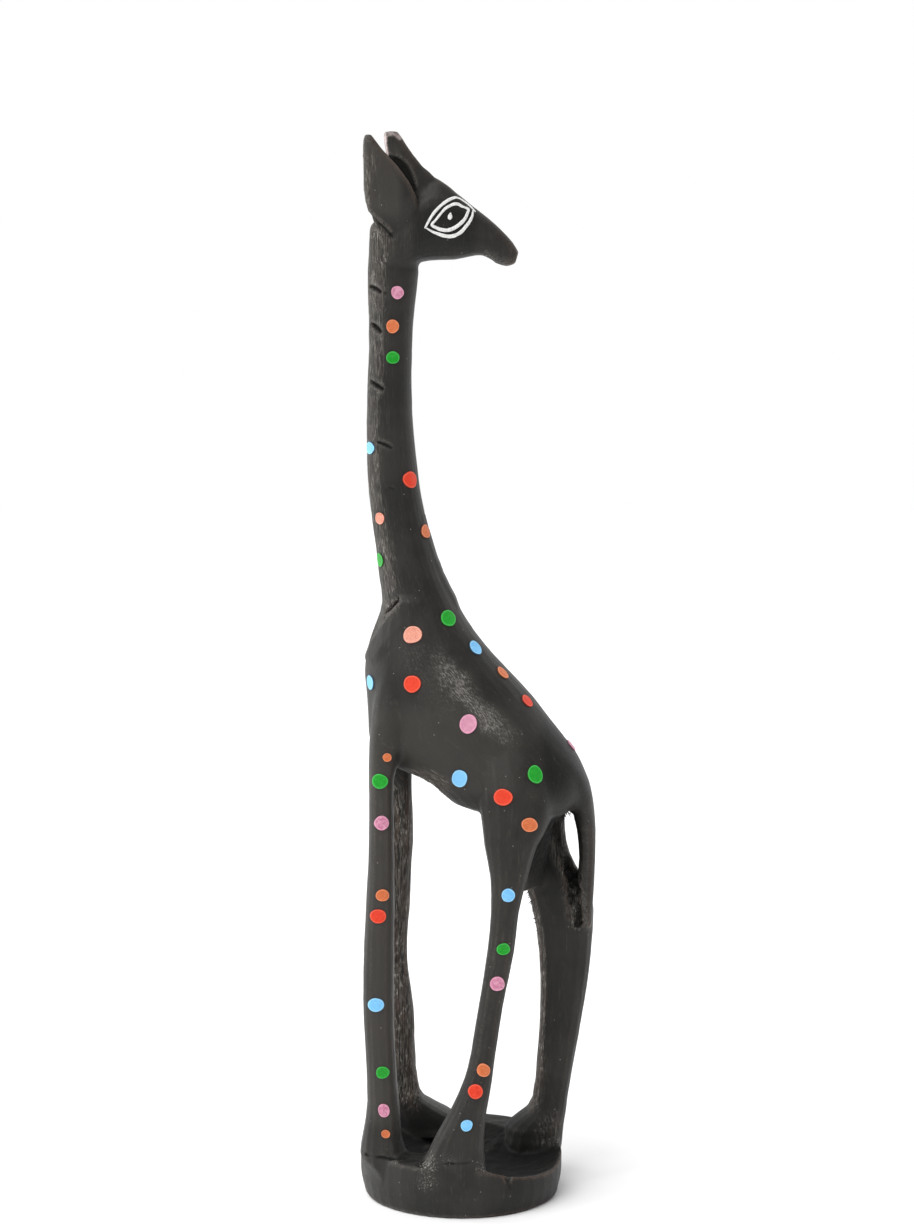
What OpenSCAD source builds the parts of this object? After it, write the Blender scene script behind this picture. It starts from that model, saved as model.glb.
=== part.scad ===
// Hand-carved wooden giraffe with painted dots.
// The animal and its round base are one block of wood. The head looks back
// over the body. The block is drawn as one carving and then divided at flat
// planes into the members a carver would name, so that every member can be
// picked, coloured or replaced on its own. The paint lies on top of the wood.
//
// Millimetres, +Z up. The origin is the centre of the base underside.
// The chest faces -X, the rump, the tail and the turned-back head face +X.
// The left flank of the body faces -Y.

/* [Overall] */
// Height from the floor to the horn tips
statue_height = 305; // [245:5:365]
// Width of the body and neck from flank to flank, as a share of the carved width
flank_width = 1.0; // [0.9:0.02:1.1]

/* [Base] */
// Radius of the round base at its widest
base_radius = 29.3; // [28.5:0.1:31]
// Height of the base rim
base_height = 15; // [14:0.1:15.8]
// Depth of the hollow cut between the feet, below the rim
hollow_depth = 5.4; // [3:0.2:8]
// Rounding of the underside edge
underside_rounding = 1.6; // [1:0.1:3]

/* [Head] */
// Width of the groove between the two horns at their roots
horn_gap = 2; // [1.6:0.1:2.4]
// How far the ears stand out from the head beyond their carved place
ear_spread = 0; // [0:0.1:1]
// Width of the painted lines of the eyes
eye_line = 0.75; // [0.5:0.05:1]

/* [Carved cuts] */
// Number of short cuts that mark the mane
mane_cuts = 6; // [3:1:6]
// Radius of the gouge that made the mane cuts
mane_gouge = 0.7; // [0.4:0.1:1]
// Length of each mane cut
mane_cut_length = 3.4; // [2:0.2:4]

/* [Paint] */
// Thickness of the paint dots and eye lines
paint_thickness = 0.35; // [0.2:0.05:0.5]
// Size of the dots, as a share of the painted size
dot_size = 1.0; // [0.8:0.05:1.2]

/* [Hidden] */

// Every table below is drawn for a statue of this height
drawn_height = 305;
size = statue_height / drawn_height;

// Colours
wood_colour = [0.20, 0.19, 0.18];
white_colour = [0.95, 0.95, 0.93];
red_colour = [0.85, 0.20, 0.14];
orange_colour = [0.90, 0.42, 0.24];
salmon_colour = [0.92, 0.55, 0.43];
green_colour = [0.10, 0.60, 0.20];
blue_colour = [0.42, 0.70, 0.93];
pink_colour = [0.78, 0.45, 0.62];

// Points round each kind of section
body_sides = 28;
leg_sides = 16;
head_sides = 24;
prong_sides = 12;
base_sides = 40;
scoop_sides = 26;
gouge_sides = 8;
dot_sides = 12;

// Roundness of the sections: 1 is an ellipse, less is closer to a rectangle
body_roundness = 0.86;
leg_roundness = 0.72;
head_roundness = 0.66;
prong_roundness = 0.8;

// Heights at which the block is divided
foot_plane = 16;
front_leg_plane = 121;
hind_leg_plane = 89;
haunch_plane = 124;
neck_plane = 176;
head_plane = 266.5;

// The plane under the ears and horns rises towards the forehead
prong_plane_x = -25.5;
prong_plane_z = 281;
prong_plane_tilt = 30;

// Middle plane of the head
head_middle = 1;

// Distance outwards from that plane at which the horns end and the ears begin,
// low down on the head and above the tips
split_below = [4.8, 270];
split_above = [8.3, 320];

// Upright planes between the left and right legs, between the front and hind
// legs, between the long right front foot and the right hind foot, and in front
// of the haunches
leg_split = -4;
belly_split = -11;
foot_split = 8;
haunch_split = 0;

// The long right front foot lies below this height
long_foot_height = 60;

// The feet flare out of the side of the base between these heights, and end
// this far outside it
flare_low = 7;
flare_high = 19;
flare_out = 6;

// Larger than the statue in every direction
reach = 400;

// A section is one row of numbers: x, y and z of one end of the section,
// x, y and z of its other end, and its width from flank to flank.

// Neck and trunk, from inside the head down to the groin: chest side, then back side
trunk_rows = [
    [-25.8, 1, 276, -13, 1, 275, 11],
    [-26.6, 1, 267, -12.2, 1, 266, 13],
    [-26.4, 1, 256, -13.3, 1, 256, 13],
    [-26.4, 1, 244, -14.1, 1, 244, 13],
    [-26.7, 1, 232, -14.1, 1, 232, 13.5],
    [-26.9, 1, 220, -13.5, 1, 220, 14.5],
    [-26.8, 1, 208, -12.2, 1, 208, 15.5],
    [-25.7, 1, 198, -10.4, 1, 197, 17],
    [-24.6, 1, 188.5, -7.8, 1, 188, 19],
    [-23.6, 1, 180, -4.8, 0.5, 179, 21.5],
    [-22.8, 1.5, 172.5, -0.9, 0.5, 171.5, 24.5],
    [-24.5, 2, 166.5, 3.5, 0, 164.5, 28],
    [-26.8, 2, 160, 8.6, 0, 158, 31.5],
    [-28, 2.5, 153, 14.8, -0.5, 151.5, 34],
    [-27.4, 2.5, 146, 20.5, -1, 145.2, 36],
    [-27, 2.5, 138.5, 26.6, -1.5, 137.6, 37.5],
    [-26.4, 2.5, 131.5, 31.8, -2, 131, 38],
    [-21.5, 2.5, 126, 35.1, -2, 125.4, 38],
    [-14, 2, 123.2, 35.6, -2, 120.4, 39],
    [-8.2, 1, 120, 34, -1.5, 116, 38],
    [-3, 0, 115.4, 31, -1, 112.8, 33],
    [4, 0, 113, 28, -1, 110.6, 27],
    [11, 0, 110, 24, -1, 109, 15]
];

// Legs, from inside the trunk down into the base: chest side, then rump side
left_front_rows = [
    [-21, -4, 160, -14, -4, 160, 8],
    [-24.6, -7.4, 148, -14.5, -7.4, 148, 11],
    [-26.2, -10.4, 134, -16.6, -10.4, 134, 12],
    [-26.3, -12.2, 123, -19.2, -12.2, 123, 11.4],
    [-26.2, -12.9, 112, -19.2, -12.9, 112, 10.8],
    [-26.5, -13.2, 100, -19.1, -13.2, 100, 10.6],
    [-27.7, -13.8, 77, -19.1, -13.8, 77, 10.6],
    [-28.1, -13.9, 60, -19.2, -13.9, 60, 10.8],
    [-27.4, -13.6, 44, -18.9, -13.6, 44, 11.2],
    [-27, -13, 30, -17.9, -13, 30, 12],
    [-28.2, -12.6, 21, -17.1, -12.6, 20, 13],
    [-29.1, -12, 15, -15.4, -12.4, 14, 14],
    [-28, -12, 8, -15, -12.4, 8, 14]
];
right_front_rows = [
    [-18, 7, 160, -9, 7, 160, 8],
    [-21.5, 10.5, 148, -11, 10.5, 148, 11],
    [-23.6, 13.6, 134, -13, 13.6, 134, 12],
    [-24, 15.4, 123, -14.5, 15.4, 123, 11.6],
    [-24.1, 16.4, 112, -14.4, 16.4, 112, 11.2],
    [-24.2, 17, 100, -14.3, 17, 100, 11],
    [-25, 17.8, 77, -15.7, 17.8, 77, 11],
    [-25.1, 18.2, 64, -16, 18.2, 64, 11],
    [-24.1, 18.4, 50, -14.3, 18.4, 50, 11.2],
    [-23.4, 18.4, 37, -13.9, 18.4, 37, 11.6],
    [-22.6, 18.4, 27.5, -13, 18.4, 27.5, 12.4],
    [-21.6, 18.2, 22.5, -11, 18.2, 22.5, 14],
    [-20.5, 17.5, 18, -3.6, 18.5, 18.4, 16],
    [-20, 17, 12, 5, 18, 12.5, 17]
];
left_hind_rows = [
    [9, -4, 150, 15, -4, 150, 8],
    [5, -8, 142, 18, -8.2, 140, 13],
    [3.8, -10.8, 131, 22.4, -11, 129.6, 17],
    [4.4, -13, 121, 25.6, -13.2, 120, 18.4],
    [5.6, -14.8, 112, 25.2, -15, 111.5, 17.4],
    [6.4, -16.6, 105, 21.4, -16.6, 105, 15],
    [8.1, -18, 96, 18.7, -18, 96, 13],
    [8.3, -19.2, 86, 16.1, -19.2, 86, 11.2],
    [7.2, -20, 75, 14.8, -20, 75, 10.6],
    [4.9, -20.6, 60, 11.8, -20.6, 60, 10.4],
    [2.6, -21.4, 46, 9.6, -21.4, 46, 10.4],
    [0.6, -22, 38.5, 8.7, -22, 38.5, 10.6],
    [-3.2, -22.8, 30, 7.2, -22.8, 30, 11],
    [-7, -23.1, 23.4, 6.5, -23.3, 23.2, 11.6],
    [-9.2, -22.8, 18.8, 6.4, -23.4, 18.6, 12],
    [-10.6, -22.4, 16.2, 6.7, -23.3, 16, 12],
    [-13, -21.8, 13, 7, -23, 13, 12],
    [-12, -20.5, 8, 8, -22, 8, 12]
];
right_hind_rows = [
    [13, 4, 148, 17, 4, 148, 8],
    [11, 6.4, 139, 24.4, 5.4, 137, 13],
    [10.5, 8.8, 128, 30.4, 7.8, 127, 16.6],
    [12, 10.2, 117, 31.8, 9.2, 116, 18.4],
    [13.4, 10.9, 109, 30.2, 10.5, 109, 17.5],
    [14.8, 11, 101, 30.8, 11, 101, 17],
    [16.8, 11, 94, 33.4, 11, 94, 16.5],
    [19.2, 10.8, 87, 38.2, 10.8, 86, 16],
    [22.1, 10.6, 75, 38.6, 10.6, 75, 15],
    [23.2, 10.4, 61, 37.3, 10.4, 61, 14],
    [23, 10.2, 48, 35.3, 10.2, 48, 13.6],
    [22.3, 10, 35, 33, 10, 35, 13.8],
    [21.4, 9.8, 27, 31.6, 9.8, 27, 14.6],
    [19.6, 9.6, 21.5, 30.9, 9.6, 21.5, 16],
    [13.6, 9, 17, 30.2, 9.2, 17, 18],
    [12, 8.6, 10, 29.6, 9, 10, 18]
];

// Web of wood that joins the thighs down to the arch between the hind legs:
// left thigh, then right thigh
groin_rows = [
    [10, -4, 120, 28, -4, 120, 30],
    [12.5, -7, 108, 26, -1, 108, 22],
    [13, -11, 98, 25, 3, 98, 13],
    [13, -13, 92, 24.5, 5, 92, 8],
    [13, -13.5, 89.4, 24, 5.5, 89.4, 5]
];

// Tail, from the rump down to the tuft that runs out on the right hind leg
tail_rows = [
    [24, -1, 128, 33.4, -1, 127.6, 26],
    [28.6, -0.6, 121, 36.9, -0.6, 120.9, 22],
    [31.4, 0.6, 113, 38.4, 0.6, 113, 15],
    [33.4, 2, 106, 38.8, 2, 106, 10.4],
    [34.1, 3, 98, 38.8, 3, 98, 8.6],
    [33.6, 4, 91, 38.6, 4, 91, 8],
    [33.2, 4.8, 84, 38.3, 4.8, 84, 7.8],
    [34, 5.4, 77, 38, 5.4, 77, 6]
];

// Head, from the nape to the muzzle: underside, then top side
head_rows = [
    [-26.2, 1, 270, -25.9, 1, 278.4, 7],
    [-25.2, 1, 266.5, -24.6, 1, 280.8, 11],
    [-21, 1, 265.6, -20.5, 1, 283, 15],
    [-16, 1, 266.4, -16, 1, 285.6, 16.4],
    [-11.6, 1, 268.8, -11.5, 1, 288.2, 17],
    [-6.5, 1, 269.4, -6.9, 1, 291.3, 16.4],
    [-2, 1, 269.5, -1.8, 1, 288.5, 14.8],
    [2, 1, 270.3, 3, 1, 284.6, 12.2],
    [6.2, 1, 270.7, 7.3, 1, 281.4, 9.8],
    [9.8, 1, 268.5, 11.2, 1, 277.9, 8.4],
    [12.9, 1, 267.6, 14.4, 1, 274.4, 7.2],
    [15.2, 1, 268.5, 16.1, 1, 271.6, 4.4]
];

// Ears and horns, from the tip to the root inside the head: nape side, then forehead side.
// The y values are distances outwards from the middle plane of the head.
ear_rows = [
    [-26.8, 9.9, 303.8, -25.2, 9.9, 303.8, 1.8],
    [-27.4, 9.9, 302.4, -24.2, 9.9, 302.6, 2.8],
    [-27.6, 9.8, 298, -21.7, 9.8, 299.4, 3.2],
    [-27.5, 9.4, 292.6, -18.5, 9.4, 296, 3.6],
    [-27.2, 8.7, 286.8, -15, 8.7, 291.6, 3.8],
    [-26, 7.9, 282, -12.6, 7.9, 287.2, 3.8],
    [-23, 6, 275, -11, 6, 281, 4]
];
horn_rows = [
    [-21.2, 4.4, 305, -18.2, 4.4, 305, 3],
    [-21.8, 4.4, 304.2, -17.5, 4.4, 304.4, 3.8],
    [-21.6, 4.2, 301.5, -16.1, 4.2, 302.4, 4],
    [-21, 3.8, 297, -13.7, 3.8, 298.8, 4.2],
    [-20.2, 3.4, 291.4, -10.7, 3.4, 295.4, 4.4],
    [-19.4, 3.3, 286, -7.4, 3.3, 292.5, 4.6],
    [-18, 3.3, 280, -6.4, 3.3, 285, 4.6]
];

// Width of the groove between the horns as horn_rows draws them
drawn_horn_gap = 2;

// Mane cuts from the nape down towards the withers: height, and the side of the
// neck they lie on, in degrees from the left flank towards the rump
mane_rows = [
    [260, -46],
    [250, -46],
    [232.5, -44],
    [216, -22],
    [204, -3],
    [192.5, 8]
];
mane_slant = 20;

// Split in the rim of the base
split_top = [14, -25.6, 13];
split_end = [12.2, -27.4, 6.5];
split_radius = 0.35;

// Outline of an eye in the side view: rear corner, over the top, front corner, underside
eye_outline = [
    [-10.3, 277.8], [-8.2, 282], [-5.9, 284.8], [-3.8, 286.3], [-1.6, 286.8], [0.5, 286],
    [3.4, 283.6], [3.2, 281.4], [2.4, 279.4], [0.6, 277.2], [-1.4, 276], [-3.6, 275.6],
    [-5.9, 276], [-8.2, 276.8]
];
eye_inset = 1.7;
glint_centre = [-3.3, 281.5];
glint_width = 1.2;
glint_height = 2.2;

// An eye is painted between these distances from the middle plane of the head
eye_clear = 2;
head_reach = 12;

// Dots: x, y and z of the middle of the dot, the way it faces in degrees from the
// left flank towards the rump, how far it looks upwards in degrees, and its width
red_rows = [
    // left side: neck, back, flank, front leg, hind leg
    [-14.5, -5, 207.5, 40, 5, 5],
    [18.5, -9.5, 145, 60, 35, 4.4],
    [-14, -15, 150.5, -15, 5, 5.2],
    [12, -22.5, 119.5, -10, 10, 5.2],
    [-23.5, -19, 85, -10, 0, 4.6],
    [4, -27.5, 36.5, 0, 8, 4.2],
    // right side: neck, shoulder, back, front leg, hind leg
    [-20, 7.5, 252, 180, 0, 4],
    [-6, 12.5, 170, 150, 20, 4.8],
    [19, 12, 140, 135, 25, 4.4],
    [-19, 22.5, 103, 180, 0, 4],
    [-18.5, 24.5, 33, 180, 0, 3.6],
    [29, 18.5, 84, 180, 0, 4.4],
    [26, 17.5, 23, 180, 5, 3.2]
];
orange_rows = [
    [-19.5, -5.5, 251, 5, 0, 3.8],
    [-10.5, -4, 193, 65, 15, 4],
    [11.5, -8.5, 153, 60, 40, 4.4],
    [18.5, -23.5, 112, 5, 0, 4.2],
    [-21, -17, 130, 10, 5, 2.6],
    [-22.5, -18.5, 91, 5, 0, 3.8],
    [-21.5, -19, 22, 5, 0, 2.6],
    [6, -27, 43, 5, 5, 3.7],
    [-21.5, 8, 222, -170, 0, 3.6],
    [2, 14, 158, 145, 25, 4.6],
    [27, 12.5, 131, 125, 30, 4.2],
    [-20.5, 23.5, 72, 180, 0, 3.8],
    [29.5, 17, 55, 180, 0, 4]
];
salmon_rows = [
    [-23, -6, 196.5, -40, 0, 3.4],
    [-13.5, -13, 164.5, -10, 15, 5.3],
    [-20.5, 9.5, 187, -150, 0, 3.8],
    [-4, 18.5, 146, 175, 5, 5],
    [22, 19.5, 110, 180, 0, 4.4]
];
green_rows = [
    [-19.5, -5.5, 242, 5, 0, 3.8],
    [-23.5, -4.5, 185, -60, -5, 4],
    [-3.5, -10.5, 169, 35, 25, 5.3],
    [21.5, -21, 126.5, 15, 20, 5.4],
    [-23, -18, 123.5, 0, 5, 4.5],
    [-22.5, -19, 40, 0, 0, 3.9],
    [11.5, -25, 77, 5, 0, 3.7],
    [-18.5, 7.5, 262, 175, 0, 3.8],
    [-16.5, 9.5, 197, 170, 5, 4],
    [-19, 16.5, 151, -160, 0, 4.8],
    [-12, 18.5, 132, -170, -5, 4.8],
    [-20, 23, 90, -175, 0, 4.2],
    [-17, 25, 24, 180, 5, 3],
    [25, 19.5, 98, 175, 0, 4.2],
    [27, 17, 32, 180, 0, 3.6]
];
blue_rows = [
    [-26, -3.5, 216.5, -55, 0, 4],
    [4, -9.5, 160, 50, 35, 4.3],
    [-26, -5.5, 150, -65, -5, 4.4],
    [-0.5, -17.5, 124.5, -15, -15, 5],
    [-24, -19.5, 59.5, -5, 0, 4.3],
    [13, -24.5, 92.5, 0, 0, 3.8],
    [1.5, -28.5, 27.5, 0, 5, 3.3],
    [-19, 7.5, 241.5, 170, 0, 3.8],
    [-14.5, 15, 166, -175, 15, 5],
    [6, 19, 133, 175, 5, 5],
    [-19.5, 21.5, 116, 180, 5, 4.2],
    [-19.5, 24, 45, -175, 0, 3.8],
    [31, 18, 70, 180, -5, 4]
];
pink_rows = [
    [-18, -5.5, 260, 10, 0, 3.8],
    [31, -3.5, 131.5, 85, 35, 4],
    [2, -18, 140, 0, 5, 5.4],
    [-22.5, -18.5, 111.5, 5, 0, 4.3],
    [-22, -19, 28.5, 0, 0, 3.6],
    [10, -25.5, 67, 5, 0, 4.4],
    [-18, 8.5, 210, 170, 5, 4.4],
    [10.5, 12.5, 150, 140, 30, 4.4],
    [16, 18, 122, 170, 0, 5],
    [-20.5, 24, 60, 180, 0, 4],
    [28.5, 17, 42, 180, 0, 4]
];
dot_depth = 2.5;

// ---- Sections and lofts ----

// One number on a smooth curve through b and c, with a before and d after them
function between(a, b, c, d, t) =
    (2 * b + (c - a) * t + (2 * a - 5 * b + 4 * c - d) * t * t + (3 * b - a - 3 * c + d) * t * t * t) / 2;

// The rows with one more row put between each pair
function refined(rows) = [
    for (i = [0 : len(rows) - 2])
        for (t = [0, 0.5])
            between(rows[max(i - 1, 0)], rows[i], rows[i + 1], rows[min(i + 2, len(rows) - 1)], t),
    rows[len(rows) - 1]
];

// Signed power, which turns a circle into a rounded rectangle
function squared(value, roundness) = sign(value) * pow(abs(value), roundness);

// The points of one section, made larger all round by grow
function section(row, sides, roundness, grow) =
    let (
        first = [row[0], row[1], row[2]],
        last = [row[3], row[4], row[5]],
        middle = (first + last) / 2,
        half = norm(last - first) / 2,
        along = (last - first) / (2 * half),
        half_width = row[6] / 2
    )
    [
        for (i = [0 : sides - 1])
            let (
                u = (half + grow) * squared(cos(360 * i / sides), roundness),
                v = (half_width + grow) * squared(sin(360 * i / sides), roundness)
            )
            middle + along * u + [0, v, 0]
    ];

// A closed skin through all the sections
module loft(rows, sides, roundness, grow = 0) {
    sections = refined(rows);
    count = len(sections);
    skin_points = [for (row = sections) each section(row, sides, roundness, grow)];
    first_cap = [for (i = [sides - 1 : -1 : 0]) i];
    last_cap = [for (i = [0 : sides - 1]) (count - 1) * sides + i];
    skin = [
        for (k = [0 : count - 2])
            for (i = [0 : sides - 1])
                let (
                    a = k * sides + i,
                    b = k * sides + (i + 1) % sides
                )
                each [[a, b + sides, a + sides], [a, b, b + sides]]
    ];
    polyhedron(skin_points, concat([first_cap], skin, [last_cap]), convexity = 8);
}

// Rows with the flank-to-flank distances stretched by share
function widened(rows, share) = [
    for (r = rows) [r[0], r[1] * share, r[2], r[3], r[4] * share, r[5], r[6] * share]
];

// Rows placed on one side of the middle plane of the head, moved outwards by spread
function beside(rows, side, spread) = [
    for (r = rows) [
        r[0], head_middle + side * (r[1] + spread), r[2],
        r[3], head_middle + side * (r[4] + spread), r[5],
        r[6]
    ]
];

// ---- The carving ----

// One level of the base: how far the sides and the front stand in from the full radius
function base_level(height, sides_in, front_in) = [
    sides_in - base_radius, 0, height,
    base_radius - sides_in, 0, height,
    2 * (base_radius - front_in)
];

// Levels of the base from the rim down to the underside
base_rows = [
    base_level(base_height, 1.6, 1.6),
    base_level(base_height - 0.7, 0.5, 0.6),
    base_level(base_height - 2.4, 0, 0.2),
    base_level(base_height * 0.45, 0, 0),
    base_level(underside_rounding, underside_rounding * 0.1, 0),
    base_level(underside_rounding * 0.3, underside_rounding * 0.3, underside_rounding * 0.15),
    base_level(0, underside_rounding * 0.7, underside_rounding * 0.5)
];

// Hollow cut between the feet: a bowl in the middle and a dip over the front right rim
module base_hollow() {
    translate([-3, 2, base_height + 8.6])
        scale([24, 24, hollow_depth + 8.6])
            sphere(1, $fn = scoop_sides);
    translate([15, -10, base_height + 6.6])
        scale([26, 24, hollow_depth + 7.6])
            sphere(1, $fn = scoop_sides);
}

// Split in the base rim
module base_split() {
    hull() {
        translate(split_top) sphere(split_radius * 1.6, $fn = gouge_sides);
        translate(split_top + [0, 4, 0]) sphere(split_radius, $fn = gouge_sides);
        translate(split_end) sphere(split_radius, $fn = gouge_sides);
    }
}

// One mane cut at a height on the neck
module mane_cut(height, turn) {
    span = lookup(height, [for (r = trunk_rows) [r[2], r[3] - r[0]]]);
    chest = lookup(height, [for (r = trunk_rows) [r[2], r[0]]]);
    width = lookup(height, [for (r = trunk_rows) [r[2], r[6]]]) * flank_width;
    outwards = [sin(turn) * span / 2, -cos(turn) * width / 2, 0];
    translate([chest + span / 2, head_middle * flank_width, height])
        translate(outwards * 1.03)
            rotate([0, mane_slant, turn])
                hull() {
                    translate([-mane_cut_length / 2, 0, 0]) sphere(mane_gouge, $fn = gouge_sides);
                    translate([mane_cut_length / 2, 0, 0]) sphere(mane_gouge * 0.7, $fn = gouge_sides);
                }
}

// An ear of the head: side is 1 for the left, -1 for the right
module ear(side, grow) {
    loft(beside(ear_rows, side, ear_spread), prong_sides, prong_roundness, grow);
}

// A horn of the head
module horn(side, grow) {
    loft(beside(horn_rows, side, (horn_gap - drawn_horn_gap) / 2), prong_sides, prong_roundness, grow);
}

// What the feet may fill: a cone that flares out of the base, and all above it
module foot_room() {
    translate([0, 0, flare_low])
        cylinder(
            h = flare_high - flare_low,
            r1 = base_radius + paint_thickness,
            r2 = base_radius + flare_out,
            $fn = base_sides
        );
    translate([-reach, -reach, flare_high]) cube([2 * reach, 2 * reach, reach]);
}

// The whole block of wood, made larger all round by grow
module block(grow = 0) {
    difference() {
        loft(base_rows, base_sides, 1, grow);
        base_hollow();
        base_split();
    }
    difference() {
        loft(widened(trunk_rows, flank_width), body_sides, body_roundness, grow);
        for (i = [0 : mane_cuts - 1])
            mane_cut(mane_rows[i][0], mane_rows[i][1]);
    }
    intersection() {
        union() {
            loft(left_front_rows, leg_sides, leg_roundness, grow);
            loft(right_front_rows, leg_sides, leg_roundness, grow);
            loft(left_hind_rows, leg_sides, leg_roundness, grow);
            loft(right_hind_rows, leg_sides, leg_roundness, grow);
        }
        foot_room();
    }
    loft(groin_rows, prong_sides, prong_roundness, grow);
    loft(tail_rows, prong_sides, prong_roundness, grow);
    loft(head_rows, head_sides, head_roundness, grow);
    for (side = [-1, 1]) {
        ear(side, grow);
        horn(side, grow);
    }
}

// The carving: the block without what would stand below the floor
module carving(grow = 0) {
    intersection() {
        union() block(grow);
        translate([-reach, -reach, 0]) cube([2 * reach, 2 * reach, reach]);
    }
}

// ---- Regions that divide the carving ----

// Everything between two heights
module slab(low, high) {
    translate([-reach, -reach, low]) cube([2 * reach, 2 * reach, high - low]);
}

// Everything above the tilted plane under the ears and horns
module above_prong_plane() {
    translate([prong_plane_x, 0, prong_plane_z])
        rotate([0, -prong_plane_tilt, 0])
            translate([-reach, -reach, 0])
                cube([2 * reach, 2 * reach, reach]);
}

// What stands above the tilted plane on one side of the head, within an outline
// given as distances outwards from the middle plane and heights
module prong(side, outline) {
    intersection() {
        carving();
        above_prong_plane();
        translate([-reach, head_middle, 0])
            rotate([90, 0, 90])
                linear_extrude(2 * reach)
                    scale([side, 1])
                        polygon(outline);
    }
}

// Outlines that part the horns from the ears
horn_outline = [[0, split_below.y], split_below, split_above, [0, split_above.y]];
ear_outline = [split_below, [reach, split_below.y], [reach, split_above.y], split_above];

// The strip of the tail, from its root to its tuft
module tail_strip() {
    translate([0, 8.6, 0])
        rotate([90, 0, 0])
            linear_extrude(18.6)
                polygon([
                    [32.3, 118], [45, 118], [45, 78], [34.6, 78], [34, 86], [33.7, 92],
                    [33.9, 98], [33.4, 103], [32.2, 109], [31.2, 113]
                ]);
}

module front_leg_region() {
    translate([-reach, -reach, foot_plane])
        cube([reach + belly_split, 2 * reach, front_leg_plane - foot_plane]);
    translate([-reach, leg_split, foot_plane])
        cube([reach + foot_split, reach, long_foot_height - foot_plane]);
}

module hind_leg_region() {
    difference() {
        translate([belly_split, -reach, foot_plane])
            cube([reach, 2 * reach, hind_leg_plane - foot_plane]);
        front_leg_region();
    }
}

module haunch_region() {
    translate([haunch_split, -reach, hind_leg_plane])
        cube([reach, 2 * reach, haunch_plane - hind_leg_plane]);
}

module left_side() {
    translate([-reach, leg_split - reach, 0]) cube([2 * reach, reach, reach]);
}

// ---- Wooden members ----

module base() {
    color(wood_colour) scale(size) intersection() {
        carving();
        slab(0, foot_plane);
    }
}

module left_front_leg() {
    color(wood_colour) scale(size) intersection() {
        carving();
        front_leg_region();
        left_side();
    }
}

module right_front_leg() {
    color(wood_colour) scale(size) difference() {
        intersection() {
            carving();
            front_leg_region();
        }
        left_side();
    }
}

module left_hind_leg() {
    color(wood_colour) scale(size) intersection() {
        carving();
        hind_leg_region();
        left_side();
    }
}

module right_hind_leg() {
    color(wood_colour) scale(size) difference() {
        intersection() {
            carving();
            hind_leg_region();
        }
        left_side();
        tail_strip();
    }
}

module torso() {
    color(wood_colour) scale(size) difference() {
        intersection() {
            carving();
            slab(foot_plane, neck_plane);
        }
        front_leg_region();
        hind_leg_region();
        haunch_region();
        tail_strip();
    }
}

module haunches() {
    color(wood_colour) scale(size) difference() {
        intersection() {
            carving();
            haunch_region();
        }
        tail_strip();
    }
}

module tail() {
    color(wood_colour) scale(size) intersection() {
        carving();
        tail_strip();
    }
}

module neck() {
    color(wood_colour) scale(size) intersection() {
        carving();
        slab(neck_plane, head_plane);
    }
}

module head() {
    color(wood_colour) scale(size) difference() {
        intersection() {
            carving();
            slab(head_plane, reach);
        }
        above_prong_plane();
    }
}

module left_ear() {
    color(wood_colour) scale(size) prong(1, ear_outline);
}

module right_ear() {
    color(wood_colour) scale(size) prong(-1, ear_outline);
}

module left_horn() {
    color(wood_colour) scale(size) prong(1, horn_outline);
}

module right_horn() {
    color(wood_colour) scale(size) prong(-1, horn_outline);
}

// ---- Paint ----

// Paint lies on the wood: the grown carving within a shape, without the wood itself
module paint_in() {
    difference() {
        intersection() {
            carving(paint_thickness);
            children();
        }
        carving();
    }
}

// Paint dots of one colour
module dots(rows, paint_colour) {
    color(paint_colour) scale(size) paint_in()
        for (row = rows)
            translate([row[0], row[1], row[2]])
                rotate([90 - row[4], 0, row[3]])
                    translate([0, 0, -dot_depth])
                        cylinder(h = 2 * dot_depth, d = row[5] * dot_size, $fn = dot_sides);
}

// The outline of an eye, drawn this far inside the outermost line
module eye_shape(inset) {
    offset(delta = -inset)
        polygon(eye_outline);
}

// One painted line of an eye
module eye_ring(inset) {
    difference() {
        eye_shape(inset);
        eye_shape(inset + eye_line);
    }
}

// The upright spot of white in the middle of an eye
module glint_shape() {
    translate(glint_centre)
        scale([glint_width / glint_height, 1])
            circle(d = glint_height, $fn = dot_sides);
}

// Paint on one side of the head, in a flat shape seen from that side
module eye_paint(side) {
    color(white_colour) scale(size) paint_in()
        translate([0, head_middle + (side > 0 ? head_reach : -eye_clear), 0])
            rotate([90, 0, 0])
                linear_extrude(head_reach - eye_clear)
                    children();
}

module left_eye_outer_line() {
    eye_paint(1) eye_ring(0);
}

module left_eye_inner_line() {
    eye_paint(1) eye_ring(eye_inset);
}

module left_eye_glint() {
    eye_paint(1) glint_shape();
}

module right_eye_outer_line() {
    eye_paint(-1) eye_ring(0);
}

module right_eye_inner_line() {
    eye_paint(-1) eye_ring(eye_inset);
}

module right_eye_glint() {
    eye_paint(-1) glint_shape();
}

module red_dots() {
    dots(red_rows, red_colour);
}

module orange_dots() {
    dots(orange_rows, orange_colour);
}

module salmon_dots() {
    dots(salmon_rows, salmon_colour);
}

module green_dots() {
    dots(green_rows, green_colour);
}

module blue_dots() {
    dots(blue_rows, blue_colour);
}

module pink_dots() {
    dots(pink_rows, pink_colour);
}

base();
left_front_leg();
right_front_leg();
left_hind_leg();
right_hind_leg();
torso();
haunches();
tail();
neck();
head();
left_ear();
right_ear();
left_horn();
right_horn();
left_eye_outer_line();
left_eye_inner_line();
left_eye_glint();
right_eye_outer_line();
right_eye_inner_line();
right_eye_glint();
red_dots();
orange_dots();
salmon_dots();
green_dots();
blue_dots();
pink_dots();
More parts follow.
